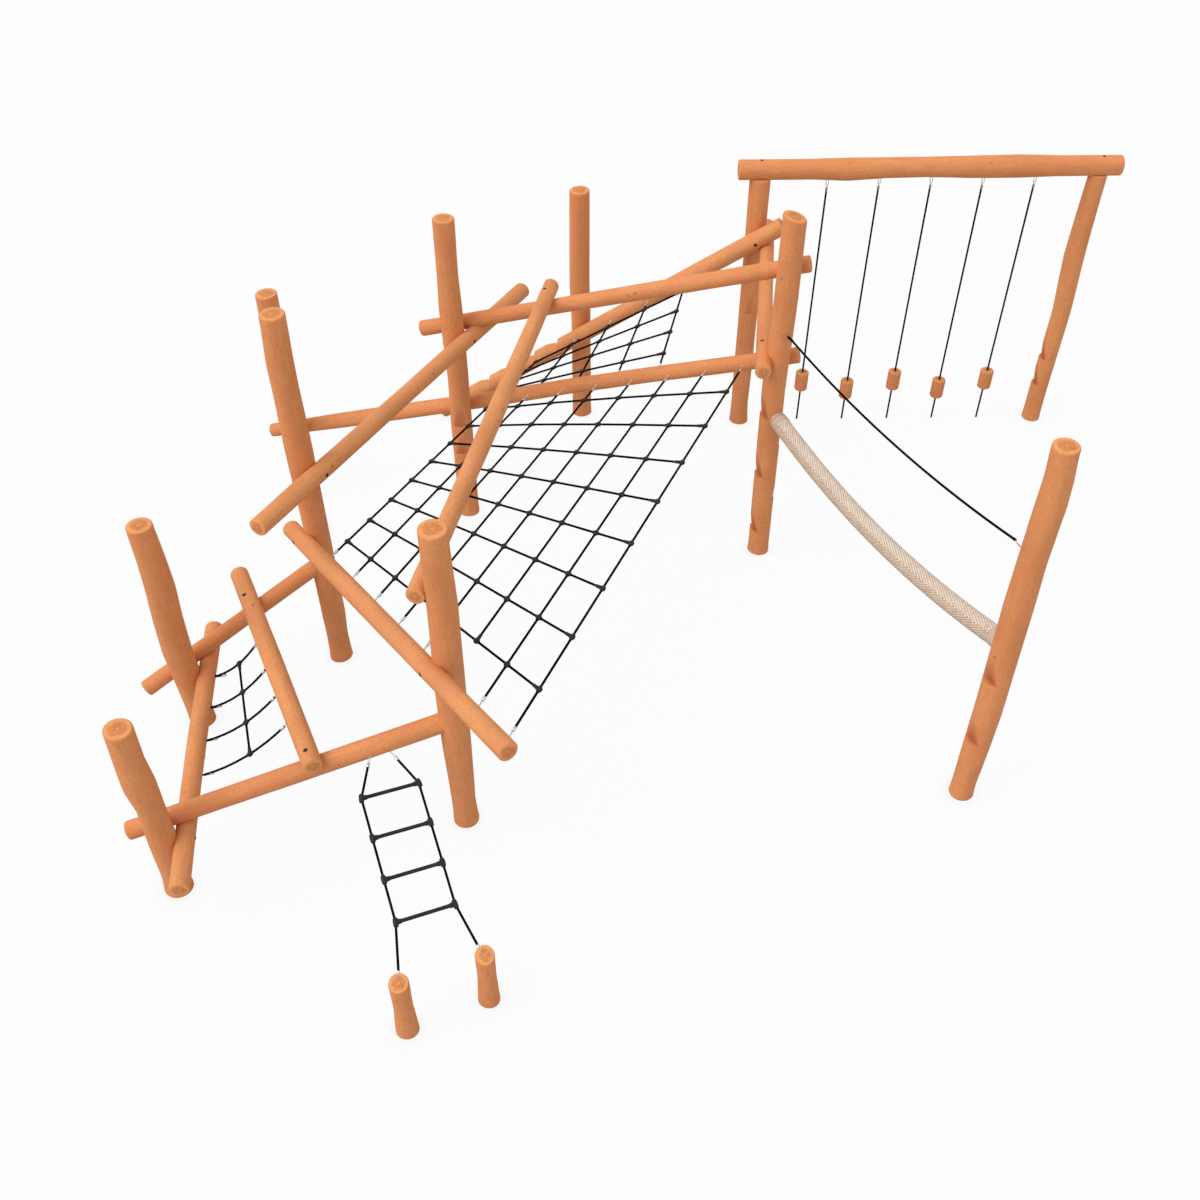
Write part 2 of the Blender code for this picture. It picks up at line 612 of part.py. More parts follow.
balance_post = stand("balance_post", BALANCE_POST, TALL_HEIGHT, BALANCE_FORM)
stump_left = stand("ladder_stump_left", STUMP_LEFT, STUMP_LEFT_HEIGHT, STUMP_FORM, (0, STUMP_SLOPE))
stump_right = stand("ladder_stump_right", STUMP_RIGHT, STUMP_RIGHT_HEIGHT, STUMP_FORM, (0, STUMP_SLOPE))

# Logs, each from its two bearings
beam_heights = [height + BEAM_DIAMETER / 2 for height in GOAL_HEIGHTS]
beam = lay("goal_beam", BEAM_DIAMETER, (goal_left, beam_heights[0], None),
           (goal_right, beam_heights[1], None), BEAM_ENDS, form=BEAM_FORM, arched=True)
ridge = lay("ridge_log", LOG_DIAMETER, (middle_post, RIDGE_AT_MIDDLE, BACK),
            (right_post, RIDGE_AT_RIGHT, BACK), RIDGE_ENDS, form=RIDGE_FORM, arched=True)
side_log = lay("side_log", STOUT_LOG_DIAMETER, (tall_post, SIDE_AT_TALL, RIGHT),
               (middle_post, SIDE_AT_MIDDLE, RIGHT), SIDE_ENDS, SIDE_SADDLE)
upper = lay("upper_log", LOG_DIAMETER, (middle_post, UPPER_AT_MIDDLE, BACK),
            (right_post, UPPER_AT_RIGHT, BACK), UPPER_ENDS)
crown_log = lay("crown_log", LOG_DIAMETER, (net_post, CROWN_AT_NET_POST, LEFT),
                (upper, CROWN_ON_UPPER, UP), CROWN_ENDS, SIDE_SADDLE)
net_log = lay("net_log", STOUT_LOG_DIAMETER, (tall_post, NET_LOG_AT_TALL, FRONT),
              (net_post, NET_LOG_AT_NET_POST, FRONT), NET_LOG_ENDS, NET_LOG_SADDLE)
left_log = lay("hammock_log_left", STOUT_LOG_DIAMETER, (hammock_front, LEFT_AT_FRONT, RIGHT),
               (hammock_back, LEFT_AT_BACK, RIGHT), LEFT_ENDS, form=LEFT_LOG_FORM)
back_log = lay("hammock_log_back", LOG_DIAMETER, (hammock_back, BACK_AT_HAMMOCK, BACK),
               (tall_post, BACK_AT_TALL, None), BACK_ENDS, HAMMOCK_SADDLE)
front_log = lay("hammock_log_front", STOUT_LOG_DIAMETER, (hammock_front, FRONT_AT_HAMMOCK, BACK),
                (net_post, FRONT_AT_NET_POST, None), FRONT_ENDS, HAMMOCK_SADDLE)
right_log = lay("hammock_log_right", STOUT_LOG_DIAMETER, (back_log, RIGHT_ON_BACK, UP),
                (front_log, RIGHT_ON_FRONT, UP), RIGHT_ENDS)
steps = lay("step_log", STEP_LOG_DIAMETER, (step_post, STEPS_AT_STEP_POST, FRONT),
            (goal_left, STEPS_AT_GOAL, FRONT), STEP_ENDS)
link = lay("link_log", LOG_DIAMETER, (steps, LINK_UNDER_STEPS, -UP), (ridge, LINK_ON_RIDGE, UP), LINK_ENDS)
ridge_end = stand_against("ridge_post_left", ridge, RIDGE_END_ON_RIDGE, FRONT, RIDGE_END_HEIGHT,
                          RIDGE_END_DIAMETER)

# Each timber is housed around the earlier ones that it touches
timbers = [beam, goal_left, goal_right, step_post, middle_post, right_post, tall_post, hammock_back,
           hammock_front, net_post, balance_post, ridge_end, stump_left, stump_right, left_log, front_log,
           back_log, right_log, net_log, side_log, upper, crown_log, ridge, steps, link]
objects, rooms = {}, {}
for order, trunk in enumerate(timbers):
    objects[trunk.name] = add_object(trunk.name, trunk.mesh(), trunk.frame, wood)
    rooms[trunk.name] = add_object("room_" + trunk.name, trunk.mesh(SEAT_GAP), trunk.frame)
    for earlier in timbers[:order]:
        if trunk.clearance(earlier) < SADDLE:
            cut(objects[trunk.name], rooms[earlier.name])

cut_notches(right_post, RIGHT_POST_NOTCHES, (LEFT + FRONT * NOTCH_TURN).normalized(), NOTCH_DEPTH)
cut_notches(right_post, RIGHT_POST_FAR_NOTCHES, RIGHT, SHALLOW_NOTCH)
cut_notches(balance_post, BALANCE_POST_NOTCHES, LEFT, NOTCH_DEPTH)
cut_notches(balance_post, BALANCE_POST_FAR_NOTCHES, RIGHT, SHALLOW_NOTCH)
cut_notches(goal_right, GOAL_POST_NOTCHES, LEFT, NOTCH_DEPTH)
cut_steps(steps)

# Rope work
add_net("climbing_net", straight_net(net_log, CLIMB_NET_ON_NET_LOG, ridge, CLIMB_NET_ON_RIDGE,
                                     CLIMB_NET_ROPES, CLIMB_NET_ROWS, CLIMB_NET_ROW, SHORT_ROPE),
        (net_log, ridge))
add_net("upper_net", straight_net(ridge, UPPER_NET_ON_RIDGE, steps, UPPER_NET_ON_STEPS,
                                  UPPER_NET_ROPES, UPPER_NET_ROWS, UPPER_NET_ROW), (ridge, steps))
add_net("hammock_net", hammock_net(left_log, right_log), (left_log, right_log))
for number in range(1, HANG_COUNT + 1):
    add_hanging_rope(number, beam)
add_ladder(front_log, (stump_left, stump_right))

span_posts = (right_post, balance_post)
cuffs = add_span("balance_rope", span_posts, BALANCE_HEIGHTS, BALANCE_SAG, CUFF_LENGTH,
                 BALANCE_DIAMETER / 2, 16, 12, pale_rope)
add_fittings("balance_cuff", cuffs, CUFF_DIAMETER / 2, 16, plastic)
hooks = add_span("hand_rope", span_posts, HAND_HEIGHTS, HAND_SAG, HOOK_LENGTH,
                 ROPE_DIAMETER / 2, 8, 14, black_rope)
add_fittings("hand_hook", hooks, HOOK_DIAMETER / 2, 8, steel)
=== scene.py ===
"""Looks of the climbing course: peeled trunks, laid ropes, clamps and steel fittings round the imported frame.

Metres, in the frame's own axes, +Z up and the ground at z = 0. Trunks are measured from their solids.
Ropes repeat the routes of their solids, set out from the same distances along the measured trunks.
"""
import math
import random

import bmesh
import bpy
import numpy as np
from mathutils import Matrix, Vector, noise


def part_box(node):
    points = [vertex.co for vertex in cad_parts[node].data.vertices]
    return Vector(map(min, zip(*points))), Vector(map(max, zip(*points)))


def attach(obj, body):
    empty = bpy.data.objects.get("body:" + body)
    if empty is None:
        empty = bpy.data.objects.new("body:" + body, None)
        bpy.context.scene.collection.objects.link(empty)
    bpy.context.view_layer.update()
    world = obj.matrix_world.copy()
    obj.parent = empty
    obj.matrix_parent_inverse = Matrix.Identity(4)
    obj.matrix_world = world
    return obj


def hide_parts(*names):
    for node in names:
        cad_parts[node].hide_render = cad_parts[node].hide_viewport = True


# Camera of the photograph
CAMERA_PLACE = (-0.500, -7.275, 7.6)
CAMERA_PITCH = 44.203  # degrees below the horizon
CAMERA_LENS = 38.6
SENSOR_WIDTH = 36.0
CAMERA_REACH = 200.0

# Stage and light
FLOOR_REACH = 60.0
FLOOR_SIDES = 64
FLOOR_DROP = 0.001
FLOOR_SHADE = 0.05  # how much of the cast shade the camera sees on the floor
FLOOR_BOUNCE = 0.53  # light that the floor throws back at the object
CONTACT_REACH = 0.12  # of the faint shade round the feet
CONTACT_LEVEL = 0.90
WORLD_LIGHT = 0.80
SUN_LIGHT = 1.65
SUN_SPREAD = 50  # degrees
SUN_FROM = (-0.62, -0.25, 0.75)

# Largest angle, in degrees, that is shaded round
SHARP = 40
WOOD_SHARP = 32
CUFF_SHARP = 30
ROPE_SHARP = 80
BRAID_SHARP = 180

# Trunks
CAD_SIDES = 16
SIDES = 48
RING_PITCH = 0.05
RING_CLEAR = 0.02  # from the rings of an end to the even ones
FOOT_RING = 0.05  # height of the second ring of a post
SEAT_GAP = 0.0003
SADDLE = 0.015
END_ROUND = 0.012  # length of the softened edge at a sawn end
END_SHARE = 0.9  # radius of the sawn face as a share of the trunk's
END_RINGS = 5
END_NEAR = 0.002  # measured rings this near to a sawn end don't count
HOUSED_REACH = 0.06  # how far a housed end runs on before it is cut
WOBBLE = 0.0016  # height of the slow unevenness of the surface
KNOT_COLOUR = (0.27, 0.075, 0.030)
KNOT_HEIGHT = 0.0025
KNOT_PITCH = 0.85  # length of trunk for each knot
KNOT_PLACES = (0.12, 0.95)  # shares of the trunk's length
KNOT_SIZES = (0.005, 0.011)
KNOT_RINGS = (-2, -1.4, -0.9, -0.4, 0, 0.4, 0.9, 1.4, 2)
GRAIN_SHIFT = 90  # most that the grain of a piece is shifted, so that no two are alike
CROWN_FOOT = 0.12  # below the top of a slanted crown, where the slant starts
CROWN_RUN = 0.10  # length over which it grows
CROWNS = {"ridge_post_right": (-0.25, 0), "ladder_stump_left": (0, 0.30), "ladder_stump_right": (0, 0.30)}
HOUSED = ("hammock_log_back", "hammock_log_front")
GOLDEN = ("crown_log", "net_log", "side_log", "hammock_log_left", "hammock_log_right", "step_log")
REVERSED = ("hammock_log_left", "link_log")  # logs that are set out towards -X
TIMBERS = ("goal_beam", "goal_post_left", "goal_post_right", "step_post", "ridge_post_middle",
           "ridge_post_right", "tall_post_left", "hammock_post_back", "hammock_post_front", "net_post_front",
           "balance_post", "ridge_post_left", "ladder_stump_left", "ladder_stump_right", "hammock_log_left",
           "hammock_log_front", "hammock_log_back", "hammock_log_right", "net_log", "side_log", "upper_log",
           "crown_log", "ridge_log", "step_log", "link_log")

# Notches: post, side, depth and heights. Steps of the stepped log
NOTCH_HEIGHT = 0.22
NOTCH_DEPTH = 0.042
SHALLOW_NOTCH = 0.018
FRONT_NOTCH = 0.024
FAINT_NOTCH = 0.015
NOTCH_ROOM = 0.08  # how far a notch cutter reaches out of its post
NOTCHES = (("ridge_post_right", (-0.958, -0.287, 0), NOTCH_DEPTH, (0.245, 0.845, 1.445)),
           ("ridge_post_right", (1, 0, 0), SHALLOW_NOTCH, (0.585, 1.140)),
           ("balance_post", (-0.925, -0.380, 0), NOTCH_DEPTH, (0.61, 1.23)),
           ("balance_post", (1, 0, 0), SHALLOW_NOTCH, (0.945,)),
           ("goal_post_right", (-1, 0, 0), NOTCH_DEPTH, (0.40, 0.69)),
           ("ridge_post_middle", (0, -1, 0), FRONT_NOTCH, (0.70, 0.99)),
           ("goal_post_left", (0, -1, 0), FAINT_NOTCH, (1.243,)))
STEP_COUNT = 5
STEP_FIRST = 0.326
STEP_PITCH = 0.27
STEP_DEPTH = 0.072
STEP_ROOM = 0.2  # size of a step cutter
FOOT_ROOM = 0.4  # half the size of the cutter under the log's foot

# Bolt caps: a log and the timber behind it
BOLTS = (("side_log", "tall_post_left"), ("side_log", "ridge_post_middle"), ("crown_log", "upper_log"),
         ("net_log", "tall_post_left"), ("net_log", "net_post_front"),
         ("hammock_log_left", "hammock_post_front"), ("hammock_log_right", "hammock_log_back"),
         ("hammock_log_right", "hammock_log_front"), ("step_log", "step_post"),
         ("step_log", "goal_post_left"), ("link_log", "ridge_log"),
         ("goal_beam", "goal_post_left"), ("goal_beam", "goal_post_right"))
BOLT_CAP = [(-0.004, 0.015), (0.0015, 0.015), (0.003, 0.0135), (0.0045, 0.009), (0.005, 0.00375)]
BOLT_SUNK = 0.001

# Sides of small round pieces
ROD_SIDES = 12
SLEEVE_SIDES = 16
CAP_SIDES = 20
LINK_SIDES = 10
LINK_RINGS = 28

# Ropes
ROPE_RADIUS = 0.008
STRANDS = 6
CREST = 1.12  # radius over a strand as a share of the rope's
GROOVE = 1.00  # the same between two strands
LAY_LENGTH = 0.11  # length of rope for one turn of its strands
ROPE_STEP = 0.0105

# Chain and ferrule at a rope's end; turned profiles are (distance, radius) stops
BOSS = [(0, 0.009), (0.007, 0.009), (0.009, 0.007)]
BOSS_SUNK = 0.006
CHAIN_LINKS = 3
CHAIN_PITCH = 0.0165
CHAIN_START = 0.008  # from the timber to the middle of the first link
CHAIN_LINK = (CHAIN_PITCH * 1.18, 0.009, 0.0024)  # length, width and rod
FERRULE_SEAT = 0.0368  # from half a link before the chain to where the rope shows
FERRULE_SHOWN = 0.030  # length of the ferrule up to there
FERRULE_LAP = 0.006  # how far the rope runs into it
FERRULE = [(0, 0.004), (0.002, 0.0085), (0.005, 0.0105), (0.030, 0.0105), (0.034, 0.0096)]

# Clamps where ropes cross
CLAMP_HALF = 0.019
CLAMP_THICK = 0.013
CLAMP_SQUARE = 3.2  # power of the rounded square that is its outline
CLAMP_LEVELS = [(0.05, 0.965), (0.06, 1.0), (0.35, 1.0), (0.70, 0.94), (0.93, 0.80), (1, 0.62)]
BUTTON = [(0, 0.0065), (0.0018, 0.0062), (0.003, 0.0045), (0.0034, 0.002)]
BUTTON_SEAT = 0.95  # as a share of the clamp's thickness
COLLAR_LENGTH = 0.027  # of the collars round ropes that run on
SLEEVE_LENGTH = 0.062  # of the collar round a rope that ends in the clamp
COLLAR_FOOT = [(0.010, 0.0122)]
COLLAR_BEAD = [(0.024, 0.0122), (0.026, 0.0134), (0.031, 0.0134), (0.033, 0.0118)]  # only on a long one
COLLAR_TIP = [(-0.005, 0.0115), (-0.002, 0.0110), (0, 0.0098)]  # from its length

# Nets, as in the solids
CLIMB_NET = dict(low="net_log", low_on=(0.614, 0.358), high="ridge_log", high_on=(2.252, 0.309),
                 ropes=8, rows=8, row=(0.082, 0.115, 0.020), short=5)
UPPER_NET = dict(low="ridge_log", low_on=(2.240, 0.361), high="step_log", high_on=(1.215, 0.404),
                 ropes=5, rows=4, row=(0.150, 0.217, 0), short=None)
HAMMOCK_ROPES = 4
HAMMOCK_ON_LEFT = (0.928, 0.320)
HAMMOCK_ON_RIGHT = (1.665, -0.303)
HAMMOCK_SAG = 0.10
HAMMOCK_CROSS = 0.545  # place of the cross rope, as a share of the span
HAMMOCK_POINTS = 11

# Hanging ropes and step blocks
HANG_COUNT = 5
HANGER_ROD = 0.0035
HANGER_BEND = 0.010
HANGER_SUNK = 0.012  # how far the rod runs up into the beam
HANGER_BEND_POINTS = 15
HANGER_STEP = 0.003
THIMBLE = (0.020, 0.013, 0.0025)
THIMBLE_DROP = 0.006  # below the foot of the hanger, as are the next two
FERRULE_DROP = 0.014
ROPE_DROP = 0.040
BLOCK_SIDES = 48
BLOCK_RINGS = 6
BLOCK_EDGE = 0.012
BLOCK_GAP = 0.0006  # between the rope and the bore
BLOCK_OVAL = 0.012

# Rope ladder, as in the solids
LADDER_AT_LOG = 1.755
LADDER_SPREAD = 0.075
LADDER_AT_STUMP = 0.045
LADDER_RUNGS = 4
LADDER_HEAD = 0.337
LADDER_PITCH = 0.283
RUNG_LENGTH = 0.385
RUNG_ENDS = [(0.042, 0.0125), (0.030, 0.0165), (0.006, 0.017)]  # distances from the end
RUNG_COLLAR = [(0.004, 0.018), (0.022, 0.0165), (0.028, 0.014), (0.030, 0.0105)]

# Balance rope, as in the solids
BALANCE_RADIUS = 0.070
BALANCE_HEIGHTS = (1.455, 1.525)
BALANCE_SAG = 0.147
BALANCE_POINTS = 200
BALANCE_ROUND = 0.012  # length of the softened edge at each end
BALANCE_TUCK = 0.004  # and how far it draws in
BRAID_COLUMNS = 4
BRAID_SIDES = 32  # of each column
BRAID_SEAM = 2.467  # turn of the seam between two columns that faces the camera
BRAID_SEAM_SHARE = 0.08  # of a column's width
BRAID_PITCH = 0.0375  # from one strand of a column to the next
BRAID_SLANT = 5.8  # strands that one strand passes while it crosses its column
BRAID_DEPTH = 0.003
BRAID_STEP = 0.003
BRAID_YARNS = 3  # in each strand
BRAID_COLUMN_SHADES = (0.06, 0.62)  # paleness of the columns, by turns: painted light on the paler ones and painted shade on the darker, standing for the braid's lit upper and shaded lower side
WHIPPING_LENGTH = 0.055  # of the pale binding at the rope's start
WHIPPING_RISE = 0.0012
WHIPPING_RING = 0.007  # half the length of the ridge that ends it
WHIPPING_RIDGE = 0.002
WHIPPING_SIDES = 64
CUFF_LENGTH = 0.030
CUFF_SIDES = 48
CUFF_START = [(0, 0.069), (0.003, 0.0710), (0.012, 0.0705), (0.022, 0.068), (0.032, 0.063), (0.040, 0.055),
              (0.047, 0.044), (0.052, 0.030)]
CUFF_END = [(0, 0.067), (0.003, 0.070), (CUFF_LENGTH + 0.04, 0.070)]

# Hand rope; its hooks are nearly as in the solids
HAND_HEIGHTS = (2.225, 2.330)
HAND_SAG = 0.095
HAND_POINTS = 240
HOOK_LENGTH = 0.055
HOOK_PIN = [(0, 0.005), (HOOK_LENGTH, 0.005)]
HOOK_SUNK = 0.004
HOOK_SPAN = 0.088  # from the far post to the end of the rope
HOOK_START = 0.004  # from the end of the rope to the start of the bent hook
HOOK_DIP = 0.016
HOOK_ROD = 0.0045
HOOK_POINTS = 24
HOOK_WASHER = [(0, 0.010), (0.006, 0.010), (0.008, 0.008)]
SLEEVE_RADIUS = 0.0098  # of the black sleeves at the ends of the rope
SLEEVE_LAP = 0.020  # how far they reach back over it
SLEEVE_TAPER = 0.004
SLEEVE_REACHES = (HOOK_LENGTH + 0.012, 0.024)

UP = np.array((0.0, 0.0, 1.0))
EAST = np.array((1.0, 0.0, 0.0))
NORTH = np.array((0.0, 1.0, 0.0))
LEVEL = (1, 1, 0)  # takes the height out of a point
STEEP = 0.95  # rise from which an axis counts as upright
COURSE = "course"


# Shapes

def unit(vector):
    vector = np.asarray(vector, float)
    return vector / np.linalg.norm(vector)


def cross_axes(axis):
    """Two directions square to an axis and to each other."""
    side = unit(np.cross(UP, axis)) if abs(axis[2]) < STEEP else EAST
    side = unit(side - axis * (side @ axis))
    return side, np.cross(axis, side)


def even_turns(count):
    return np.linspace(0, math.tau, count, endpoint=False)


def circle(count, side, rise):
    """Even directions round the plane of two axes."""
    turns = even_turns(count)
    return np.cos(turns)[:, None] * side + np.sin(turns)[:, None] * rise


def distances(path):
    """How far along a path each of its points lies."""
    return np.concatenate([[0], np.cumsum(np.linalg.norm(np.diff(path, axis=0), axis=1))])


def even_steps(path, step):
    """The same route with points at even steps."""
    path = np.asarray(path, float)
    run = distances(path)
    places = np.linspace(0, run[-1], max(2, math.ceil(run[-1] / step)) + 1)
    return np.column_stack([np.interp(places, run, path[:, k]) for k in range(3)])


def sagging(start, end, sag, parts):
    """Points at shares of a span that sags in the middle."""
    parts = np.asarray(parts, float)[:, None]
    return start + (end - start) * parts - UP * sag * 4 * parts * (1 - parts)


def carried_axes(path, ends=None):
    """Two cross axes at each point of a path, carried along it without a twist."""
    tangents = np.gradient(path, axis=0)
    tangents /= np.linalg.norm(tangents, axis=1)[:, None]
    if ends is not None:
        tangents[0] = tangents[-1] = ends
    side = cross_axes(tangents[0])[0]
    sides = []
    for tangent in tangents:
        side = unit(side - tangent * (side @ tangent))
        sides.append(side)
    return np.array(sides), np.cross(tangents, sides)


def mirrored(stops):
    """Stops on both sides of a middle, from those on one side."""
    return [(-place, size) for place, size in stops[::-1]] + stops


class Shape:
    """Points, faces and the material slot of each face of a piece that is being made."""

    def __init__(self):
        self.points, self.faces, self.slots = [], [], []

    def skin(self, rings, slot=0, cap_slot=None, ends="closed"):
        """Faces between rings of equal count, with two end faces, open, or joined in a loop."""
        rings = np.asarray(rings, float)
        count, sides = rings.shape[:2]
        ids = len(self.points) + np.arange(count * sides).reshape(count, sides)
        self.points.extend(map(tuple, rings.reshape(-1, 3)))
        lower, upper = (ids, np.roll(ids, -1, 0)) if ends == "loop" else (ids[:-1], ids[1:])
        quads = np.stack([lower, np.roll(lower, -1, 1), np.roll(upper, -1, 1), upper], -1).reshape(-1, 4)
        self.faces.extend(map(tuple, quads.tolist()))
        self.slots.extend([slot] * len(quads))
        if ends == "closed":
            self.faces += [tuple(ids[0][::-1].tolist()), tuple(ids[-1].tolist())]
            self.slots += [slot if cap_slot is None else cap_slot] * 2

    def prism(self, corners, across, slot=0):
        """A straight prism with a convex outline, reaching equally to both sides of it."""
        corners = np.asarray(corners, float)
        facing = np.cross(corners[1] - corners[0], corners[2] - corners[1]) @ across
        corners = corners if facing > 0 else corners[::-1]
        self.skin([corners - across, corners + across], slot)

    def lathe(self, origin, axis, stops, sides):
        """Turn (distance, radius) stops about an axis. Returns the shape."""
        axis = unit(axis)
        ring = circle(sides, *cross_axes(axis))
        self.skin([origin + axis * place + ring * radius for place, radius in stops])
        return self

    def tube(self, path, radii, twist=0.0, ends=None):
        """Sweep radii, one for each even angle or one row for each point, along a path.

        Both end faces are square to the direction ends, where it is given.
        """
        path = np.asarray(path, float)
        side, rise = carried_axes(path, ends)
        radii = np.broadcast_to(radii, (len(path), np.shape(radii)[-1]))
        angle = distances(path)[:, None] * twist + even_turns(radii.shape[1])
        rings = np.cos(angle)[..., None] * side[:, None] + np.sin(angle)[..., None] * rise[:, None]
        self.skin(path[:, None] + rings * radii[..., None])

    def link(self, centre, along, across, size):
        """A closed oval of round rod; size is length and width to the middle of the rod, and its radius."""
        length, width, rod = size
        across = unit(across - along * (across @ along))
        normal = np.cross(along, across)
        rings = []
        for turn in even_turns(LINK_RINGS):
            middle = centre + along * length / 2 * math.cos(turn) + across * width / 2 * math.sin(turn)
            tangent = unit(across * width * math.cos(turn) - along * length * math.sin(turn))
            rings.append(middle + rod * circle(LINK_SIDES, np.cross(tangent, normal), normal))
        self.skin(np.array(rings)[:, ::-1], ends="loop")


def make_object(name, shape, materials=()):
    data = bpy.data.meshes.new(name)
    data.from_pydata(shape.points, [], shape.faces)
    data.polygons.foreach_set("material_index", shape.slots)
    for material in materials:
        data.materials.append(material)
    made = bpy.data.objects.new(name, data)
    bpy.context.scene.collection.objects.link(made)
    return made


def finish_piece(piece, nodes=(), sharp=SHARP, body=COURSE):
    piece.data.shade_smooth()
    piece.data.set_sharp_from_angle(angle=math.radians(sharp))
    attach(piece, body)
    if nodes:
        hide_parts(*nodes)
    return piece


def add_piece(name, shape, material, nodes=(), sharp=SHARP, body=COURSE):
    return finish_piece(make_object(name, shape, [material]), nodes, sharp, body)


# Materials

class Nodes:
    """Short ways to add shader nodes to a tree."""

    def __init__(self, tree):
        self.tree = tree

    def feed(self, socket, value):
        """Link a socket, or set it to a number, vector or colour."""
        if isinstance(value, bpy.types.NodeSocket):
            self.tree.links.new(value, socket)
        else:
            socket.default_value = (*value, 1) if socket.type == "RGBA" else value

    def add(self, kind, settings=None, **inputs):
        made = self.tree.nodes.new("ShaderNode" + kind)
        for name, value in (settings or {}).items():
            setattr(made, name, value)
        for name, value in inputs.items():
            self.feed(made.inputs[name.replace("_", " ")], value)
        return made

    def attribute(self, name, output="Fac"):
        return self.add("Attribute", {"attribute_name": name}).outputs[output]

    def calculate(self, operation, first, second):
        made = self.add("Math", {"operation": operation})
        self.feed(made.inputs[0], first)
        self.feed(made.inputs[1], second)
        return made.outputs[0]

    def spread(self, value, low, high, to_low=0.0, to_high=1.0):
        """Carry a value over from one range to another."""
        return self.add("MapRange", Value=value, From_Min=low, From_Max=high, To_Min=to_low,
                        To_Max=to_high).outputs["Result"]

    def along(self, grain, share):
        """A place in the grain with its length taken at a share."""
        return self.add("Mapping", Vector=grain, Scale=(1, 1, share)).outputs["Vector"]

    def cloudy(self, place, scale, detail=3.0, roughness=0.55, distortion=0.0):
        return self.add("TexNoise", Vector=place, Scale=scale, Detail=detail, Roughness=roughness,
                        Distortion=distortion).outputs["Fac"]


class Look(Nodes):
    """A material that is being made, with its colour so far."""

    def __init__(self, name, colour, roughness, gloss=0.5, metallic=0.0):
        self.made = bpy.data.materials.new(name)
        self.made.use_nodes = True
        super().__init__(self.made.node_tree)
        self.colour = colour
        self.shade("Roughness", roughness)
        self.shade("Specular IOR Level", gloss)
        self.shade("Metallic", metallic)

    def shade(self, name, value):
        self.feed(self.tree.nodes["Principled BSDF"].inputs[name], value)

    def tint(self, value, bare, full, share, colour):
        """Blend in a colour: nothing of it where the value is at bare, and its share at full."""
        mix = self.add("Mix", {"data_type": "RGBA"})
        factor = self.spread(value, bare, full, 0, share)
        for number, part in ((0, factor), (6, self.colour), (7, colour)):
            self.feed(mix.inputs[number], part)
        self.colour = mix.outputs[2]

    def finish(self, height=None, distance=0.0, strength=0.5):
        """Set the colour, and a bump where there is a height."""
        self.shade("Base Color", self.colour)
        if height:
            bump = self.add("Bump", Height=height, Distance=distance, Strength=strength)
            self.shade("Normal", bump.outputs["Normal"])
        return self.made


def heart_share(look, grain):
    """How far a point lies from the heart of its trunk, as a share of the trunk's radius."""
    reach = look.add("VectorMath", {"operation": "LENGTH"}, Vector=look.along(grain, 0))
    return look.calculate("DIVIDE", reach.outputs["Value"], look.attribute("girth"))


def wood_material(name, dark, middle, light, ruddy, corner=None):
    """Oiled round wood: speckles, ruddy and dark patches, streaks, pores and knots, with painted shade that
    darkens cut faces towards the deep corners of notches.
    """
    look = Look(name, middle, 0.7, 0.2)
    grain = look.attribute("grain", "Vector")
    streaks = look.cloudy(look.along(grain, 0.10), 48, 4, 0.6, 0.4)
    mottle = look.cloudy(look.along(grain, 0.55), 60, 4, 0.65)
    blotches = look.cloudy(look.along(grain, 0.40), 6, 3, 0.5)
    blush = look.cloudy(look.along(grain, 0.50), 13, 3, 0.5)
    sand = look.cloudy(look.along(grain, 0.7), 130, 3, 0.7)
    pores = look.cloudy(look.along(grain, 0.5), 75, 2, 0.5)
    look.tint(mottle, 0.34, 0.66, 1, light)
    look.tint(blush, 0.48, 0.70, 0.75, ruddy)
    look.tint(streaks, 0.46, 0.74, 0.40, dark)
    look.tint(blotches, 0.42, 0.74, 0.60, dark)
    look.tint(sand, 0.48, 0.68, 0.60, dark)
    look.tint(pores, 0.68, 0.76, 0.50, KNOT_COLOUR)
    look.tint(look.attribute("knot"), 0.15, 0.95, 0.80, KNOT_COLOUR)
    # painted shade: cut faces grow darker the deeper they lie below the trunk's surface, towards a notch's
    # corner
    if corner:
        look.tint(heart_share(look, grain), 1.0, 0.64, 1, corner)
    look.shade("Roughness", look.spread(streaks, 0.3, 0.7, 0.62, 0.80))
    return look.finish(look.calculate("ADD", mottle, sand), 0.0010)


def end_material(name, rim, heart, crack):
    """Sawn end of a trunk: a pale rim, a darker mottled heart with a pale pith, year rings and cracks."""
    look = Look(name, rim, 0.8, 0.15)
    grain = look.attribute("grain", "Vector")
    share = heart_share(look, grain)
    uneven = look.spread(look.cloudy(grain, 30, 3, 0.6), 0.3, 0.7, -0.12, 0.12)
    inside = look.spread(look.calculate("ADD", share, uneven), 0.50, 0.76, 1.0, 0.0)
    rings = look.add("TexWave", {"wave_type": "RINGS", "rings_direction": "Z"},
                     Vector=look.along(grain, 0), Scale=30.0, Distortion=2.4, Detail=2.0,
                     Detail_Scale=1.6).outputs["Fac"]
    blotches = look.spread(look.cloudy(grain, 62, 3, 0.6), 0.46, 0.64)
    cells = look.add("TexVoronoi", {"feature": "DISTANCE_TO_EDGE"}, Vector=grain, Scale=26.0)
    cracks = look.spread(cells.outputs["Distance"], 0.02, 0.09, 0.7, 0.0)
    look.tint(inside, 0, 1, 0.85, heart)
    look.tint(rings, 0.55, 1.0, 0.25, heart)
    for marks in (blotches, cracks):
        look.tint(look.calculate("MULTIPLY", inside, marks), 0, 1, 1, crack)
    look.tint(share, 0.16, 0.06, 0.7, rim)
    return look.finish(rings, 0.0008)


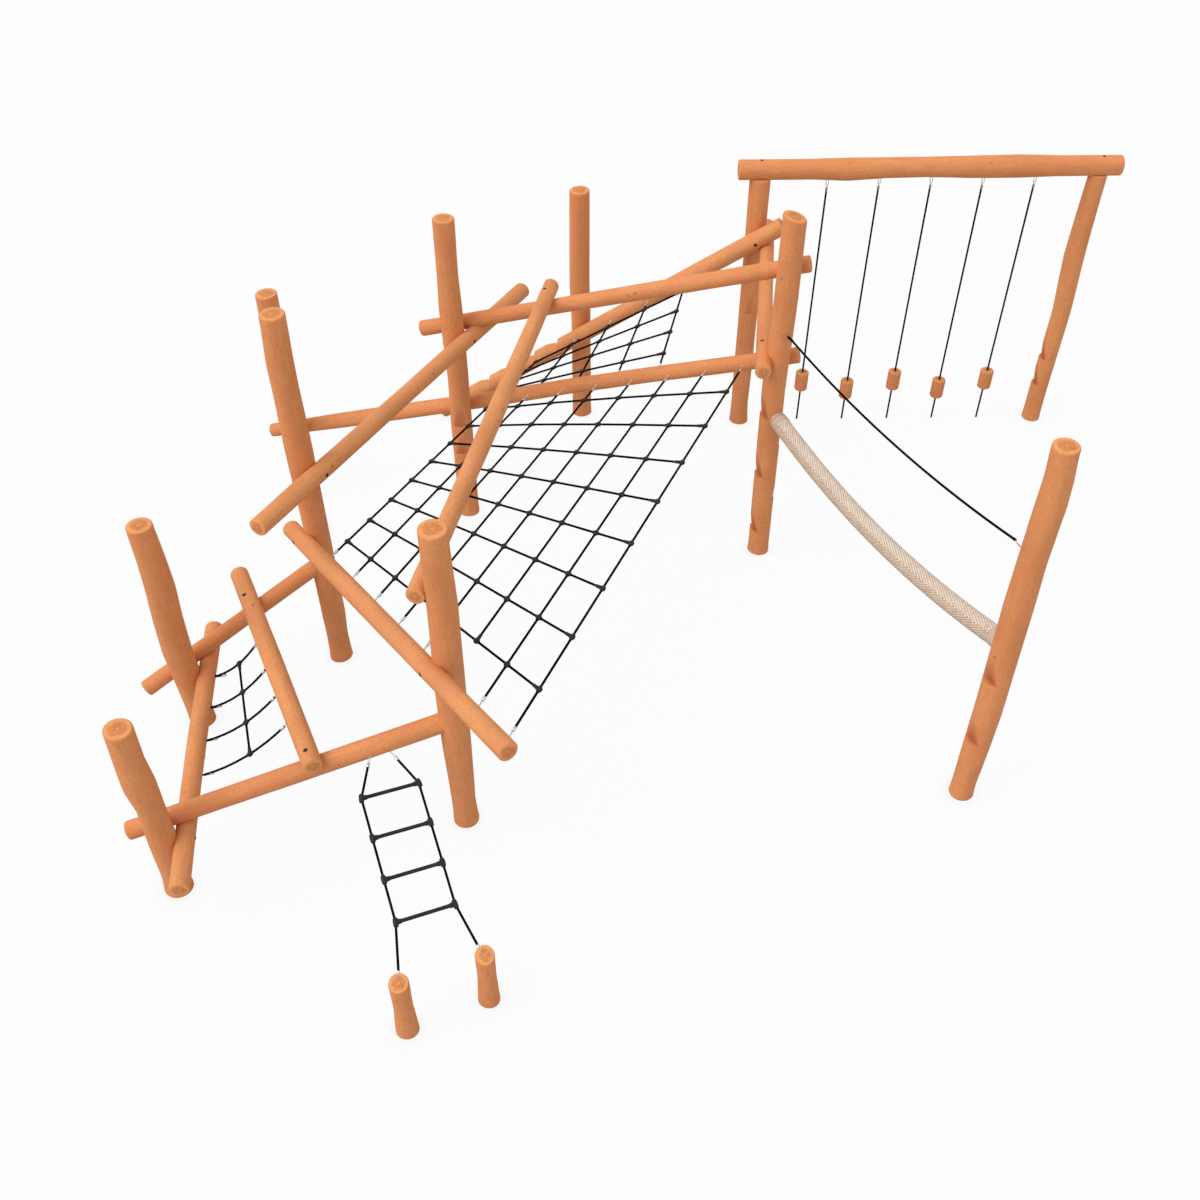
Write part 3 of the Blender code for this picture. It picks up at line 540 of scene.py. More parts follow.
def rope_material(name, dark, light, roughness, gloss=0.1):
    """Rope or moulded plastic of one colour, with a fine grain."""
    look = Look(name, dark, roughness, gloss)
    place = look.add("TexCoord").outputs["Object"]
    threads = look.cloudy(place, 420, 2)
    patches = look.cloudy(place, 35, 2)
    look.tint(threads, 0.35, 0.7, 1, light)
    look.tint(patches, 0.35, 0.75, 0.5, dark)
    look.shade("Roughness", look.spread(patches, 0.3, 0.7, roughness - 0.08, roughness + 0.08))
    return look.finish(threads, 0.0006)


def braid_material(name, groove_shade_and_fleck, strand, pale):
    """Pale braided cover: light strands with loose fibres and dark flecks, paler and darker columns by turns
    as painted light and shade, and painted shade, dark and reddish, between the yarns and in the grooves
    between strands.
    """
    look = Look(name, strand, 0.9, 0.1)
    place = look.add("TexCoord").outputs["Object"]
    round_yarn = look.calculate("PINGPONG", look.attribute("yarn"), 0.5)
    stitches = look.cloudy(place, 105, 2, 0.6)
    # painted light and shade: paler and darker columns by turns, for the braid's lit upper and shaded lower
    # side
    look.tint(look.attribute("tone"), 0, 1, 1, pale)
    look.tint(look.cloudy(place, 340, 3), 0.45, 0.75, 0.5, pale)
    look.tint(stitches, 0.52, 0.68, 0.70, pale)
    look.tint(stitches, 0.46, 0.32, 0.45, groove_shade_and_fleck)
    # painted shade: dark reddish colour between the yarns and deep in the grooves where the braid's height is
    # low
    look.tint(round_yarn, 0.20, 0.02, 0.25, groove_shade_and_fleck)
    look.tint(look.attribute("height"), 0.80, 0.15, 0.90, groove_shade_and_fleck)
    look.tint(look.cloudy(place, 14, 3), 0.45, 0.8, 0.20, groove_shade_and_fleck)
    return look.finish(round_yarn, 0.003, 0.8)


def steel_material(name, dull, bright):
    """Galvanised steel with a faint spangle."""
    look = Look(name, dull, 0.4, metallic=1.0)
    place = look.add("TexCoord").outputs["Object"]
    spangle = look.add("TexVoronoi", Vector=place, Scale=160.0).outputs["Color"]
    level = look.add("RGBToBW", Color=spangle).outputs["Val"]
    look.tint(level, 0, 1, 1, bright)
    look.shade("Roughness", look.spread(level, 0, 1, 0.32, 0.5))
    return look.finish()


# Trunks

class Timber:
    """A trunk measured from its solid: its axis, its heart and its girth at every ring left whole."""

    def __init__(self, name):
        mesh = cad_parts[name].data
        points = np.unique(np.array([v.co for v in mesh.vertices], float).round(6), axis=0)
        self.name = name
        self.upright = "post" in name or "stump" in name
        self.axis = UP if self.upright else self.find_axis(mesh, points, name in REVERSED)
        self.side, self.rise = cross_axes(self.axis)
        run = points @ self.axis
        rings = self.find_rings(points, run)
        first = rings[0].mean(0)
        self.start = first + self.axis * (run.min() - first @ self.axis)
        self.length = np.ptp(run)
        self.places, self.bows, self.girths = [], [], []
        for ring in rings:
            self.measure(ring)
        self.crown = CROWNS.get(name, (0, 0))
        self.length -= math.hypot(*self.crown) * self.radius(self.length) * END_SHARE
        chance = random.Random(name)
        self.shift = chance.uniform(0, GRAIN_SHIFT)
        self.knots = [(chance.uniform(*KNOT_PLACES) * self.length, chance.uniform(0, math.tau),
                       chance.uniform(*KNOT_SIZES))
                      for _ in range(max(1, round(self.length / KNOT_PITCH)))]

    @staticmethod
    def find_axis(mesh, points, reverse):
        """The direction of a log, from its sawn end faces."""
        rough = np.linalg.svd(points - points.mean(0), full_matrices=False)[2][0]
        rough *= math.copysign(1, rough[0]) * (-1 if reverse else 1)
        axis = np.zeros(3)
        for face in mesh.polygons:
            facing = np.array(face.normal) @ rough
            if abs(facing) > 0.99:
                axis += np.array(face.normal) * face.area * math.copysign(1, facing)
        return unit(axis)

    def find_rings(self, points, run):
        """Groups of points that make one whole ring square to the axis, in order along it."""
        order = np.argsort(run)
        found = []
        for group in np.split(order, np.flatnonzero(np.diff(run[order]) > 1e-4) + 1):
            out = points[group] - points[group].mean(0)
            turn = np.sort(np.arctan2(out @ self.rise, out @ self.side))
            if len(group) == CAD_SIDES and np.ptp(np.diff(turn)) < 0.05:
                found.append(points[group])
        return found

    def measure(self, ring):
        """Keep the heart and the girth of a ring: its radius, and how it swells twice in a turn."""
        heart = ring.mean(0)
        place = self.along(heart)
        if place > self.length - END_NEAR or place < END_NEAR and not self.upright:
            return
        out = ring - heart
        turn = np.arctan2(out @ self.rise, out @ self.side)
        waves = np.column_stack([np.ones(len(ring)), np.cos(2 * turn), np.sin(2 * turn)])
        self.places.append(place)
        self.bows.append(heart - self.start - self.axis * place)
        self.girths.append(np.linalg.lstsq(waves, np.linalg.norm(out, axis=1), rcond=None)[0])

    def measured(self, values, distance):
        """Values of the rings, carried over to any distance along the trunk."""
        return np.array([np.interp(distance, self.places, column) for column in np.transpose(values)]).T

    def at(self, distance):
        """A point of the heart of the trunk, or a row of points."""
        return self.start + np.multiply.outer(distance, self.axis) + self.measured(self.bows, distance)

    def radius(self, distance):
        return self.measured(self.girths, distance)[..., 0]

    def along(self, point):
        """How far along the trunk a point lies."""
        return (point - self.start) @ self.axis

    def surface(self, point, toward):
        """From a point of the heart to the surface, for a rope that leaves in a direction."""
        lean = toward @ self.axis
        return self.radius(self.along(point)) / math.sqrt(1 - lean ** 2)

    def stations(self):
        """Distances of the rings, each with its share of the full radius."""
        round_off = [(END_ROUND * (1 - math.sin(t)), 1 - (1 - END_SHARE) * (1 - math.cos(t)))
                     for t in np.linspace(math.pi / 2, 0, END_RINGS)]
        first = [(0.0, 1.0), (FOOT_RING, 1.0)] if self.upright else round_off
        last = [(self.length - place, share) for place, share in round_off[::-1]]
        if self.name in HOUSED:
            last = [(self.length + HOUSED_REACH, 1.0)]
        low, high = first[-1][0] + RING_CLEAR, last[0][0] - RING_CLEAR
        inner = set(np.linspace(low, high, max(2, round((high - low) / RING_PITCH))))
        for place, _, size in self.knots:
            inner |= {place + size * share for share in KNOT_RINGS}
        return first + [(place, 1.0) for place in sorted(inner) if low <= place <= high] + last

    def swelling(self, place, turn):
        """Height of the uneven surface over the measured girth."""
        spot = Vector((math.cos(turn) * 1.3, math.sin(turn) * 1.3, place * 2.2 + self.shift))
        height = WOBBLE * (noise.noise(spot) + 0.45 * noise.noise(spot * 2.7))
        return height + KNOT_HEIGHT * self.knot(place, turn)

    def knot(self, place, turn):
        """From 0 to 1, how near a point of the surface is to the middle of a knot."""
        near = 0.0
        for centre, angle, size in self.knots:
            if abs(place - centre) < 3 * size:
                across = self.radius(centre) * math.sin((turn - angle) / 2) * 2
                near = max(near, math.exp(-((place - centre) ** 2 / 1.9 + across ** 2) / size ** 2))
        return near

    def shape(self, extra=0.0):
        """The fine trunk, or with extra the room that it needs in a neighbour."""
        made = Shape()
        rings = []
        turns = even_turns(SIDES)
        stations = self.stations()
        longer = {0: -extra, len(stations) - 1: extra}
        for number, (place, share) in enumerate(stations):
            girth = self.measured(self.girths, place)
            radii = girth[0] + girth[1] * np.cos(2 * turns) + girth[2] * np.sin(2 * turns)
            radii = (radii + [self.swelling(place, turn) for turn in turns]) * share + extra
            x, y = radii * np.cos(turns), radii * np.sin(turns)
            slant = min(1.0, max(0.0, (place - self.length + CROWN_FOOT) / CROWN_RUN))
            lift = (x * self.crown[0] + y * self.crown[1]) * slant + longer.get(number, 0)
            rings.append(self.at(place) + np.outer(x, self.side) + np.outer(y, self.rise)
                         + np.outer(lift, self.axis))
        made.skin(rings, 0, 1)
        return made

    def clearance(self, other):
        """Shortest distance between two hearts, less both radii."""
        own = np.linspace(0, self.length, 101)
        its = np.clip(other.along(self.at(own)), 0, other.length)
        gaps = np.linalg.norm(self.at(own) - other.at(its), axis=1)
        return np.min(gaps - self.radius(own) - other.radius(its))

    def crossing(self, other):
        """Where two trunks cross: the distance along each."""
        square = np.cross(self.axis, other.axis)
        gap = other.start - self.start
        size = square @ square
        return np.cross(gap, other.axis) @ square / size, np.cross(gap, self.axis) @ square / size

    def mark(self, mesh):
        """Mark the points of the trunk's mesh for its wood."""
        points = mesh_points(mesh) - self.start
        places = points @ self.axis
        points -= self.measured(self.bows, places)
        grain = points @ np.column_stack([self.side, self.rise, self.axis])
        turns = np.arctan2(grain[:, 1], grain[:, 0])
        knots = [self.knot(place, turn) for place, turn in zip(places, turns)]
        mark_wood(mesh, grain, self.shift, self.radius(places), knots)


def mesh_points(mesh):
    points = np.empty(len(mesh.vertices) * 3)
    mesh.vertices.foreach_get("co", points)
    return points.reshape(-1, 3)


def mark_wood(mesh, grain, shift, girth, knots):
    """Give each point its place in the trunk, the trunk's radius there and its nearness to a knot."""
    place = mesh.attributes.new("grain", "FLOAT_VECTOR", "POINT")
    place.data.foreach_set("vector", (grain + UP * shift).ravel())
    mark_points(mesh, knot=knots, girth=girth)


def mark_points(mesh, **marks):
    """Give the points of a mesh their values, or one value to all."""
    for name, values in marks.items():
        values = np.broadcast_to(np.ravel(values), len(mesh.vertices))
        mesh.attributes.new(name, "FLOAT", "POINT").data.foreach_set("value", values)


def cut_by(piece, cutter):
    modifier = piece.modifiers.new("cut", "BOOLEAN")
    modifier.operation, modifier.solver, modifier.object = "DIFFERENCE", "EXACT", cutter


def apply_cuts(piece):
    if not piece.modifiers:
        return
    evaluated = piece.evaluated_get(bpy.context.evaluated_depsgraph_get())
    cut = bpy.data.meshes.new_from_object(evaluated)
    piece.modifiers.clear()
    piece.data = cut


def notch_shape(post, side, depth, heights):
    """Wedges that leave a level tread at each height and run out up the post."""
    made = Shape()
    side = np.array(side)
    for height in heights:
        low, high = post.at(height), post.at(height + NOTCH_HEIGHT)
        surface, run_out = post.radius(height), post.radius(height + NOTCH_HEIGHT)
        made.prism([low + side * (surface - depth), low + side * (surface + NOTCH_ROOM),
                    high + side * (run_out + NOTCH_ROOM), high + side * run_out],
                   np.cross(UP, side) * surface * 2, 2)
    return made


def step_shape(log):
    """Boxes that leave a level tread and an upright riser for each step, and a level foot."""
    made = Shape()
    down = unit(-log.axis * LEVEL)
    across = log.side * log.radius(0) * 2
    for number in range(STEP_COUNT):
        place = STEP_FIRST + STEP_PITCH * number
        corner = log.at(place) + log.rise * (log.radius(place) - STEP_DEPTH)
        made.prism([corner, corner + down * STEP_ROOM, corner + (down + UP) * STEP_ROOM,
                    corner + UP * STEP_ROOM], across)
    near, far = (log.start * LEVEL + down * FOOT_ROOM * sign for sign in (1, -1))
    made.prism([near, far, far - UP * FOOT_ROOM, near - UP * FOOT_ROOM], across)
    return made


def add_timbers():
    """The trunks, each cut around those before it. Returns the rooms they need, and all cutters."""
    pieces, rooms, cutters = {}, {}, []
    for order, name in enumerate(TIMBERS):
        timber = timbers[name]
        surface = golden_wood if name in GOLDEN else wood
        pieces[name] = make_object("timber_" + name, timber.shape(), (surface, end_wood, tread_wood))
        rooms[name] = make_object("room_" + name, timber.shape(SEAT_GAP))
        cutters.append(rooms[name])
        for earlier in TIMBERS[:order]:
            if timber.clearance(timbers[earlier]) < SADDLE:
                cut_by(pieces[name], rooms[earlier])
    for name, side, depth, heights in NOTCHES:
        cutters.append(make_object("notches", notch_shape(timbers[name], side, depth, heights)))
        cut_by(pieces[name], cutters[-1])
    cutters.append(make_object("steps", step_shape(timbers["step_log"])))
    cut_by(pieces["step_log"], cutters[-1])
    for name, piece in pieces.items():
        apply_cuts(piece)
        timbers[name].mark(piece.data)
        finish_piece(piece, [name], WOOD_SHARP)
    return rooms, cutters


def add_bolts():
    shape = Shape()
    for log, bearer in BOLTS:
        own, its = timbers[log].crossing(timbers[bearer])
        heart = timbers[log].at(own)
        out = UP if log == "goal_beam" else unit(heart - timbers[bearer].at(its))
        shape.lathe(heart + out * (timbers[log].radius(own) - BOLT_SUNK), out, BOLT_CAP, CAP_SIDES)
    add_piece("bolt_caps", shape, black_plastic)


# Ropes, their fittings and clamps

def add_rope(shape, path):
    """A laid rope: strands that wind round its route. Returns the route."""
    route = even_steps(path, ROPE_STEP)
    shape.tube(route, ROPE_RADIUS * np.tile([CREST, GROOVE], STRANDS), math.tau / LAY_LENGTH)
    return route


def add_free_rope(name, path, node, body=COURSE):
    """A rope that is a piece of its own. Returns it and its route."""
    shape = Shape()
    route = add_rope(shape, path)
    return add_piece(name, shape, black_rope, [node], ROPE_SHARP, body), route


def add_fitting(shape, timber, heart, following, links=CHAIN_LINKS):
    """A few links and a ferrule for a rope from a timber's heart. Returns where the rope starts in it."""
    toward = unit(following - heart)
    surface = heart + toward * timber.surface(heart, toward)
    axes = cross_axes(toward)
    shape.lathe(surface - toward * BOSS_SUNK, toward, BOSS, ROD_SIDES)
    for number in range(links):
        centre = surface + toward * (CHAIN_START + CHAIN_PITCH * number)
        shape.link(centre, toward, axes[number % 2], CHAIN_LINK)
    mouth = FERRULE_SEAT + CHAIN_PITCH * (links - 0.5)
    shape.lathe(surface + toward * (mouth - FERRULE_SHOWN), toward, FERRULE, SLEEVE_SIDES)
    return surface + toward * (mouth - FERRULE_LAP)


def add_clamp(shape, centre, arms):
    """A moulded clamp where two ropes meet; arms are the (direction, length) pairs of its collars."""
    side = arms[0][0]
    normal = unit(np.cross(side, arms[-1][0]))
    turns = even_turns(CAP_SIDES)
    bulge = (np.abs(np.cos(turns)) ** CLAMP_SQUARE + np.abs(np.sin(turns)) ** CLAMP_SQUARE)
    outline = circle(CAP_SIDES, side, np.cross(normal, side)) * bulge[:, None] ** (-1 / CLAMP_SQUARE)
    shape.skin([centre + normal * CLAMP_THICK * level + outline * CLAMP_HALF * share
                for level, share in mirrored(CLAMP_LEVELS)])
    for out in (normal, -normal):
        shape.lathe(centre + out * CLAMP_THICK * BUTTON_SEAT, out, BUTTON, ROD_SIDES)
    for direction, length in arms:
        bead = COLLAR_BEAD if length > COLLAR_LENGTH else []
        tip = [(length + place, radius) for place, radius in COLLAR_TIP]
        shape.lathe(centre, direction, COLLAR_FOOT + bead + tip, SLEEVE_SIDES)


def add_net(name, points, ropes, rows, ends):
    """ropes and rows are lists of routes of point numbers; ends are (rope, first or last, timber)."""
    rope_shape, clamp_shape, steel_shape = Shape(), Shape(), Shape()
    paths = [[points[k] for k in route] for route in ropes]
    for rope, last, log in ends:
        path = paths[rope][::-1] if last else paths[rope]
        path[0] = add_fitting(steel_shape, log, path[0], path[1])
        paths[rope] = path[::-1] if last else path
    for path in paths + [[points[k] for k in route] for route in rows]:
        add_rope(rope_shape, path)
    for row in rows:
        for place, number in enumerate(row):
            route = next(route for route in ropes if number in route)
            spot = route.index(number)
            along = [route[k] for k in (spot - 1, spot + 1) if k < len(route)]
            across = [row[k] for k in (place - 1, place + 1) if 0 <= k < len(row)]
            arms = []
            for numbers in (along, across):
                length = SLEEVE_LENGTH if len(numbers) == 1 else COLLAR_LENGTH
                arms += [(unit(points[k] - points[number]), length) for k in numbers]
            add_clamp(clamp_shape, points[number], arms)
    add_piece(name + "_ropes", rope_shape, black_rope, [name + "_net"], ROPE_SHARP)
    add_piece(name + "_clamps", clamp_shape, black_plastic)
    add_piece(name + "_fittings", steel_shape, steel)


def straight_net(low, low_on, high, high_on, ropes, rows, row, short):
    """Points, rope routes, row routes and log ends of a net between two logs.

    low_on and high_on have the place of the first rope on each log, and the pitch. row has the first
    row's share of a rope, the pitch, and how much lower the last rope starts. The rope short ends early.
    """
    low_log, high_log = timbers[low], timbers[high]
    points, routes, ends, numbers = [], [], [], {}
    for rope in range(ropes):
        top, foot = high_log.at(high_on[0] + high_on[1] * rope), low_log.at(low_on[0] + low_on[1] * rope)
        drop = row[2] * rope / (ropes - 1)
        parts = [row[0] + row[1] * k + drop * (1 - k / (rows - 1)) for k in range(rows)]
        routes.append([])
        for k, part in enumerate([0] + parts + ([] if rope == short else [1])):
            numbers[rope, k] = len(points)
            routes[-1].append(len(points))
            points.append(top + (foot - top) * part)
        ends.append((rope, False, high_log))
        if rope != short:
            ends.append((rope, True, low_log))
    lines = [[numbers[rope, k] for rope in range(ropes)] for k in range(1, rows + 1)]
    return points, routes, lines, ends


def hammock_net():
    """The same for the hammock: sagging ropes between two logs, and one cross rope."""
    left_log, right_log = timbers["hammock_log_left"], timbers["hammock_log_right"]
    parts = sorted([*np.linspace(0, 1, HAMMOCK_POINTS), HAMMOCK_CROSS])
    crossing = parts.index(HAMMOCK_CROSS)
    points, routes, ends = [], [], []
    for rope in range(HAMMOCK_ROPES):
        start = left_log.at(HAMMOCK_ON_LEFT[0] + HAMMOCK_ON_LEFT[1] * rope)
        end = right_log.at(HAMMOCK_ON_RIGHT[0] + HAMMOCK_ON_RIGHT[1] * rope)
        first = len(points)
        points += list(sagging(start, end, HAMMOCK_SAG, parts))
        routes.append(list(range(first, first + len(parts))))
        ends += [(rope, False, left_log), (rope, True, right_log)]
    return points, routes, [[route[crossing] for route in routes]], ends


# Hanging ropes, ladder, balance rope and hand rope

def node_corners(node):
    return [np.array(corner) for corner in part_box(node)]


def add_hanging_rope(number):
    """Bent rod, thimble and ferrule under the beam, and the rope to the ground."""
    beam = timbers["goal_beam"]
    low, high = node_corners("rope_hanger_%d" % number)
    middle = (low + high) / 2
    foot = middle * LEVEL + UP * (low[2] + HANGER_ROD)
    place = beam.along(middle)
    sunk = UP * (beam.at(place)[2] - beam.radius(place) + HANGER_SUNK)
    path = [foot + beam.axis * HANGER_BEND * math.sin(t) + UP * HANGER_BEND * (1 - math.cos(t))
            for t in np.linspace(-math.pi / 2, math.pi / 2, HANGER_BEND_POINTS)]
    path = [path[0] * LEVEL + sunk] + path + [path[-1] * LEVEL + sunk]
    shape = Shape()
    shape.tube(even_steps(path, HANGER_STEP), np.full(ROD_SIDES, HANGER_ROD))
    shape.link(foot - UP * THIMBLE_DROP, UP, unit(np.cross(beam.axis, UP)), THIMBLE)
    add_piece("hanger_%d" % number, shape, steel, ["rope_hanger_%d" % number])
    ferrule = Shape().lathe(foot - UP * FERRULE_DROP, -UP, FERRULE, SLEEVE_SIDES)
    add_piece("hanger_ferrule_%d" % number, ferrule, dull_steel)
    rope_top = foot - UP * ROPE_DROP
    rope = add_free_rope("rope_%d" % number, [rope_top, rope_top * LEVEL], "hanging_rope_%d" % number)


def add_block(number):
    """A step block: a slightly oval length of trunk with rounded edges, bored for its rope."""
    name = "block_%d" % number
    low, high = node_corners("step_" + name)
    centre = (low + high) / 2
    outer, _, half = (high - low) / 2
    bore = ROPE_RADIUS * CREST + BLOCK_GAP
    chance = random.Random(number)
    ring = circle(BLOCK_SIDES, EAST, NORTH)
    waves = np.cos(2 * even_turns(BLOCK_SIDES) + chance.uniform(0, math.tau))
    oval = ring * (1 - BLOCK_OVAL * (1 + waves))[:, None]
    edge = [(half - BLOCK_EDGE * (1 - math.sin(t)), outer - BLOCK_EDGE * (1 - math.cos(t)))
            for t in np.linspace(0, math.pi / 2, BLOCK_RINGS)]
    rim = edge[-1][1]
    shape = Shape()
    shape.skin([centre + UP * height + oval * radius for height, radius in mirrored(edge)], ends="open")
    for sign in (1, -1):
        face = [oval * rim] + [ring * radius for radius in np.linspace(rim, bore, BLOCK_RINGS)[1:]]
        shape.skin([(centre + UP * sign * half + line)[::sign] for line in face], 1, ends="open")
    shape.skin([centre + UP * sign * half + ring * bore for sign in (1, -1)], 1, ends="open")
    block = make_object(name, shape, (block_wood, end_wood))
    weld(block.data)
    mark_wood(block.data, mesh_points(block.data) - centre, chance.uniform(0, GRAIN_SHIFT), outer, 0)
    finish_piece(block, ["step_" + name], WOOD_SHARP, name)


def weld(mesh):
    """Join points that lie on each other, so that the skins of a piece close."""
    work = bmesh.new()
    work.from_mesh(mesh)
    bmesh.ops.remove_doubles(work, verts=work.verts, dist=1e-6)
    work.to_mesh(mesh)
    work.free()


def add_ladder():
    log = timbers["hammock_log_front"]
    stumps = [timbers["ladder_stump_left"], timbers["ladder_stump_right"]]
    head = log.at(LADDER_AT_LOG)
    feet = [stump.at(stump.length - LADDER_AT_STUMP) for stump in stumps]
    across = unit(feet[1] - feet[0])
    down = unit((feet[0] + feet[1]) / 2 - head)
    rungs = [head + down * (LADDER_HEAD + LADDER_PITCH * k) for k in range(LADDER_RUNGS)]
    steel_shape = Shape()
    paths = []
    for hand, name, stump, foot in zip((-1, 1), ("left", "right"), stumps, feet):
        path = [log.at(LADDER_AT_LOG + hand * LADDER_SPREAD / 2)]
        path += [rung + across * hand * RUNG_LENGTH / 2 for rung in rungs] + [foot]
        path[0] = add_fitting(steel_shape, log, path[0], path[1])
        path[-1] = add_fitting(steel_shape, stump, path[-1], path[-2], 0)
        rope = add_free_rope("ladder_side_" + name, path, "ladder_rope_" + name)
        paths.append(path)
    add_piece("ladder_fittings", steel_shape, steel)
    for number in range(1, LADDER_RUNGS + 1):
        add_rung(number, paths)


def add_rung(number, paths):
    """A moulded rung with a collar round each side rope."""
    left, right = (path[number] for path in paths)
    half = np.linalg.norm(right - left) / 2
    stops = mirrored([(half - place, radius) for place, radius in RUNG_ENDS])
    shape = Shape().lathe((left + right) / 2, right - left, stops, CAP_SIDES)
    for path in paths:
        shape.lathe(path[number], path[number + 1] - path[number - 1], mirrored(RUNG_COLLAR), CAP_SIDES)
    add_piece("rung_%d" % number, shape, black_plastic, ["ladder_rung_%d" % number])


def span_faces(heights):
    """Where a span meets its two posts, and the direction from one to the other."""
    posts = timbers["ridge_post_right"], timbers["balance_post"]
    level = unit((posts[1].start - posts[0].start) * LEVEL)
    faces = [post.at(height) + level * sign * post.radius(height)
             for post, height, sign in zip(posts, heights, (1, -1))]
    return faces, unit(faces[1] - faces[0])


def span_path(faces, chord, fitting, sag, count):
    """Points of a rope that sags between the fittings on two posts."""
    inset = chord * (fitting + SEAT_GAP)
    return sagging(faces[0] + inset, faces[1] - inset, sag, np.linspace(0, 1, count))


def add_balance_rope(rooms):
    """Thick braided rope: columns of slanting strands that meet in a herringbone, whipping and cuffs."""
    faces, chord = span_faces(BALANCE_HEIGHTS)
    path = even_steps(span_path(faces, chord, CUFF_LENGTH, BALANCE_SAG, BALANCE_POINTS), BRAID_STEP)
    sides = BRAID_COLUMNS * BRAID_SIDES
    run = np.arange(len(path))[:, None] * BRAID_STEP
    turn = (np.arange(sides)[None, :] / sides - BRAID_SEAM / math.tau) * BRAID_COLUMNS
    column, across = np.floor(turn), turn % 1
    slant = np.where(column % 2, -1, 1) * (across - 0.5) * BRAID_SLANT
    strand = run / BRAID_PITCH + slant
    seam = np.clip(np.minimum(across, 1 - across) / BRAID_SEAM_SHARE, 0, 1)
    height = np.abs(np.cos(math.pi * strand)) ** 0.6 * (0.75 + 0.25 * seam)
    # painted shade on every other column, for the braid's shaded lower side; the small steps from strand to
    # strand are the strands' own tone
    tone = np.where(column % 2, BRAID_COLUMN_SHADES[1], BRAID_COLUMN_SHADES[0]) + np.floor(strand + 0.5) * 7 % 5 * 0.06
    ease = np.clip(np.minimum(run, run[-1] - run) / BALANCE_ROUND, 0, 1)
    tuck = BALANCE_TUCK * (1 - np.sqrt(1 - (1 - ease) ** 2))
    shape = Shape()
    shape.tube(path, BALANCE_RADIUS - BRAID_DEPTH * (1 - height) - tuck, ends=chord)
    rope = make_object("balance_braid", shape, [pale_rope])
    mark_points(rope.data, height=height, tone=tone, yarn=strand * BRAID_YARNS)
    finish_piece(rope, ["balance_rope"], BRAID_SHARP, "balance")

    wound = path[:round(WHIPPING_LENGTH / BRAID_STEP)]
    to_ring = (run[:len(wound)] - run[len(wound) - 1] + WHIPPING_RING) / WHIPPING_RING
    ridge = WHIPPING_RIDGE * np.sqrt(np.clip(1 - to_ring ** 2, 0, 1))
    shape = Shape()
    shape.tube(wound, np.repeat(BALANCE_RADIUS + WHIPPING_RISE + ridge, WHIPPING_SIDES, axis=1))
    add_piece("balance_whipping", shape, pale_cap, body="balance")

    for where, post, face, inward, stops in (("start", "ridge_post_right", faces[0], -chord, CUFF_START),
                                             ("end", "balance_post", faces[1], chord, CUFF_END)):
        shape = Shape().lathe(face - inward * CUFF_LENGTH, inward, stops, CUFF_SIDES)
        cuff = make_object("cuff_" + where, shape, [pale_cap])
        cut_by(cuff, rooms[post])
        apply_cuts(cuff)
        finish_piece(cuff, ["balance_cuff_" + where], CUFF_SHARP)


def add_hand_rope():
    """Thin rope with a sleeve at each end, on a straight hook at its start and a bent one at its end."""
    faces, chord = span_faces(HAND_HEIGHTS)
    path = [point for point in span_path(faces, chord, HOOK_LENGTH, HAND_SAG, HAND_POINTS)
            if np.linalg.norm(point - faces[1]) > HOOK_SPAN]
    rope, route = add_free_rope("hand_line_rope", path, "hand_rope", "hand_line")
    last = unit(route[-1] - route[-3])
    for where, end, outward, reach in zip(("start", "end"), (route[0], route[-1]), (-chord, last),
                                          SLEEVE_REACHES):
        stops = [(0, ROPE_RADIUS), (SLEEVE_TAPER, SLEEVE_RADIUS), (reach, SLEEVE_RADIUS),
                 (reach + SLEEVE_TAPER, ROPE_RADIUS)]
        shape = Shape().lathe(end - outward * SLEEVE_LAP, outward, stops, SLEEVE_SIDES)
        add_piece("hand_line_sleeve_" + where, shape, black_rope,
                                 body="hand_line")

    pin = Shape().lathe(faces[0] - chord * HOOK_SUNK, chord, HOOK_PIN, ROD_SIDES)
    add_piece("hook_start", pin, steel, ["hand_hook_start"])
    shape = Shape().lathe(faces[1] + chord * HOOK_SUNK, -chord, HOOK_WASHER, SLEEVE_SIDES)
    hook = sagging(route[-1] + last * HOOK_START, faces[1], HOOK_DIP, np.linspace(0, 1, HOOK_POINTS))
    shape.tube(hook, np.full(LINK_SIDES, HOOK_ROD))
    add_piece("hook_end", shape, dull_steel, ["hand_hook_end"])


# Stage

def add_floor():
    """A pale floor that the camera sees almost white, with a faint shade round the feet."""
    shape = Shape()
    rim = circle(FLOOR_SIDES, EAST, NORTH) * FLOOR_REACH - UP * FLOOR_DROP
    shape.points = list(map(tuple, rim))
    shape.faces, shape.slots = [tuple(range(FLOOR_SIDES))], [0]
    ground = bpy.data.materials.new("ground")
    ground.use_nodes = True
    ground.node_tree.nodes.clear()
    nodes = Nodes(ground.node_tree)
    matt = nodes.add("BsdfDiffuse", Color=(FLOOR_BOUNCE, FLOOR_BOUNCE, FLOOR_BOUNCE))
    near = nodes.add("AmbientOcclusion", {"samples": 16}, Distance=CONTACT_REACH).outputs["AO"]
    plain = nodes.add("Emission", Strength=nodes.spread(near, 0.35, 0.95, CONTACT_LEVEL, 1.0))
    seen = nodes.calculate("MULTIPLY", nodes.add("LightPath").outputs["Is Camera Ray"], 1 - FLOOR_SHADE)
    mixed = nodes.add("MixShader", Fac=seen)
    nodes.feed(mixed.inputs[1], matt.outputs[0])
    nodes.feed(mixed.inputs[2], plain.outputs[0])
    nodes.add("OutputMaterial", Surface=mixed.outputs[0])
    make_object("floor", shape, [ground])


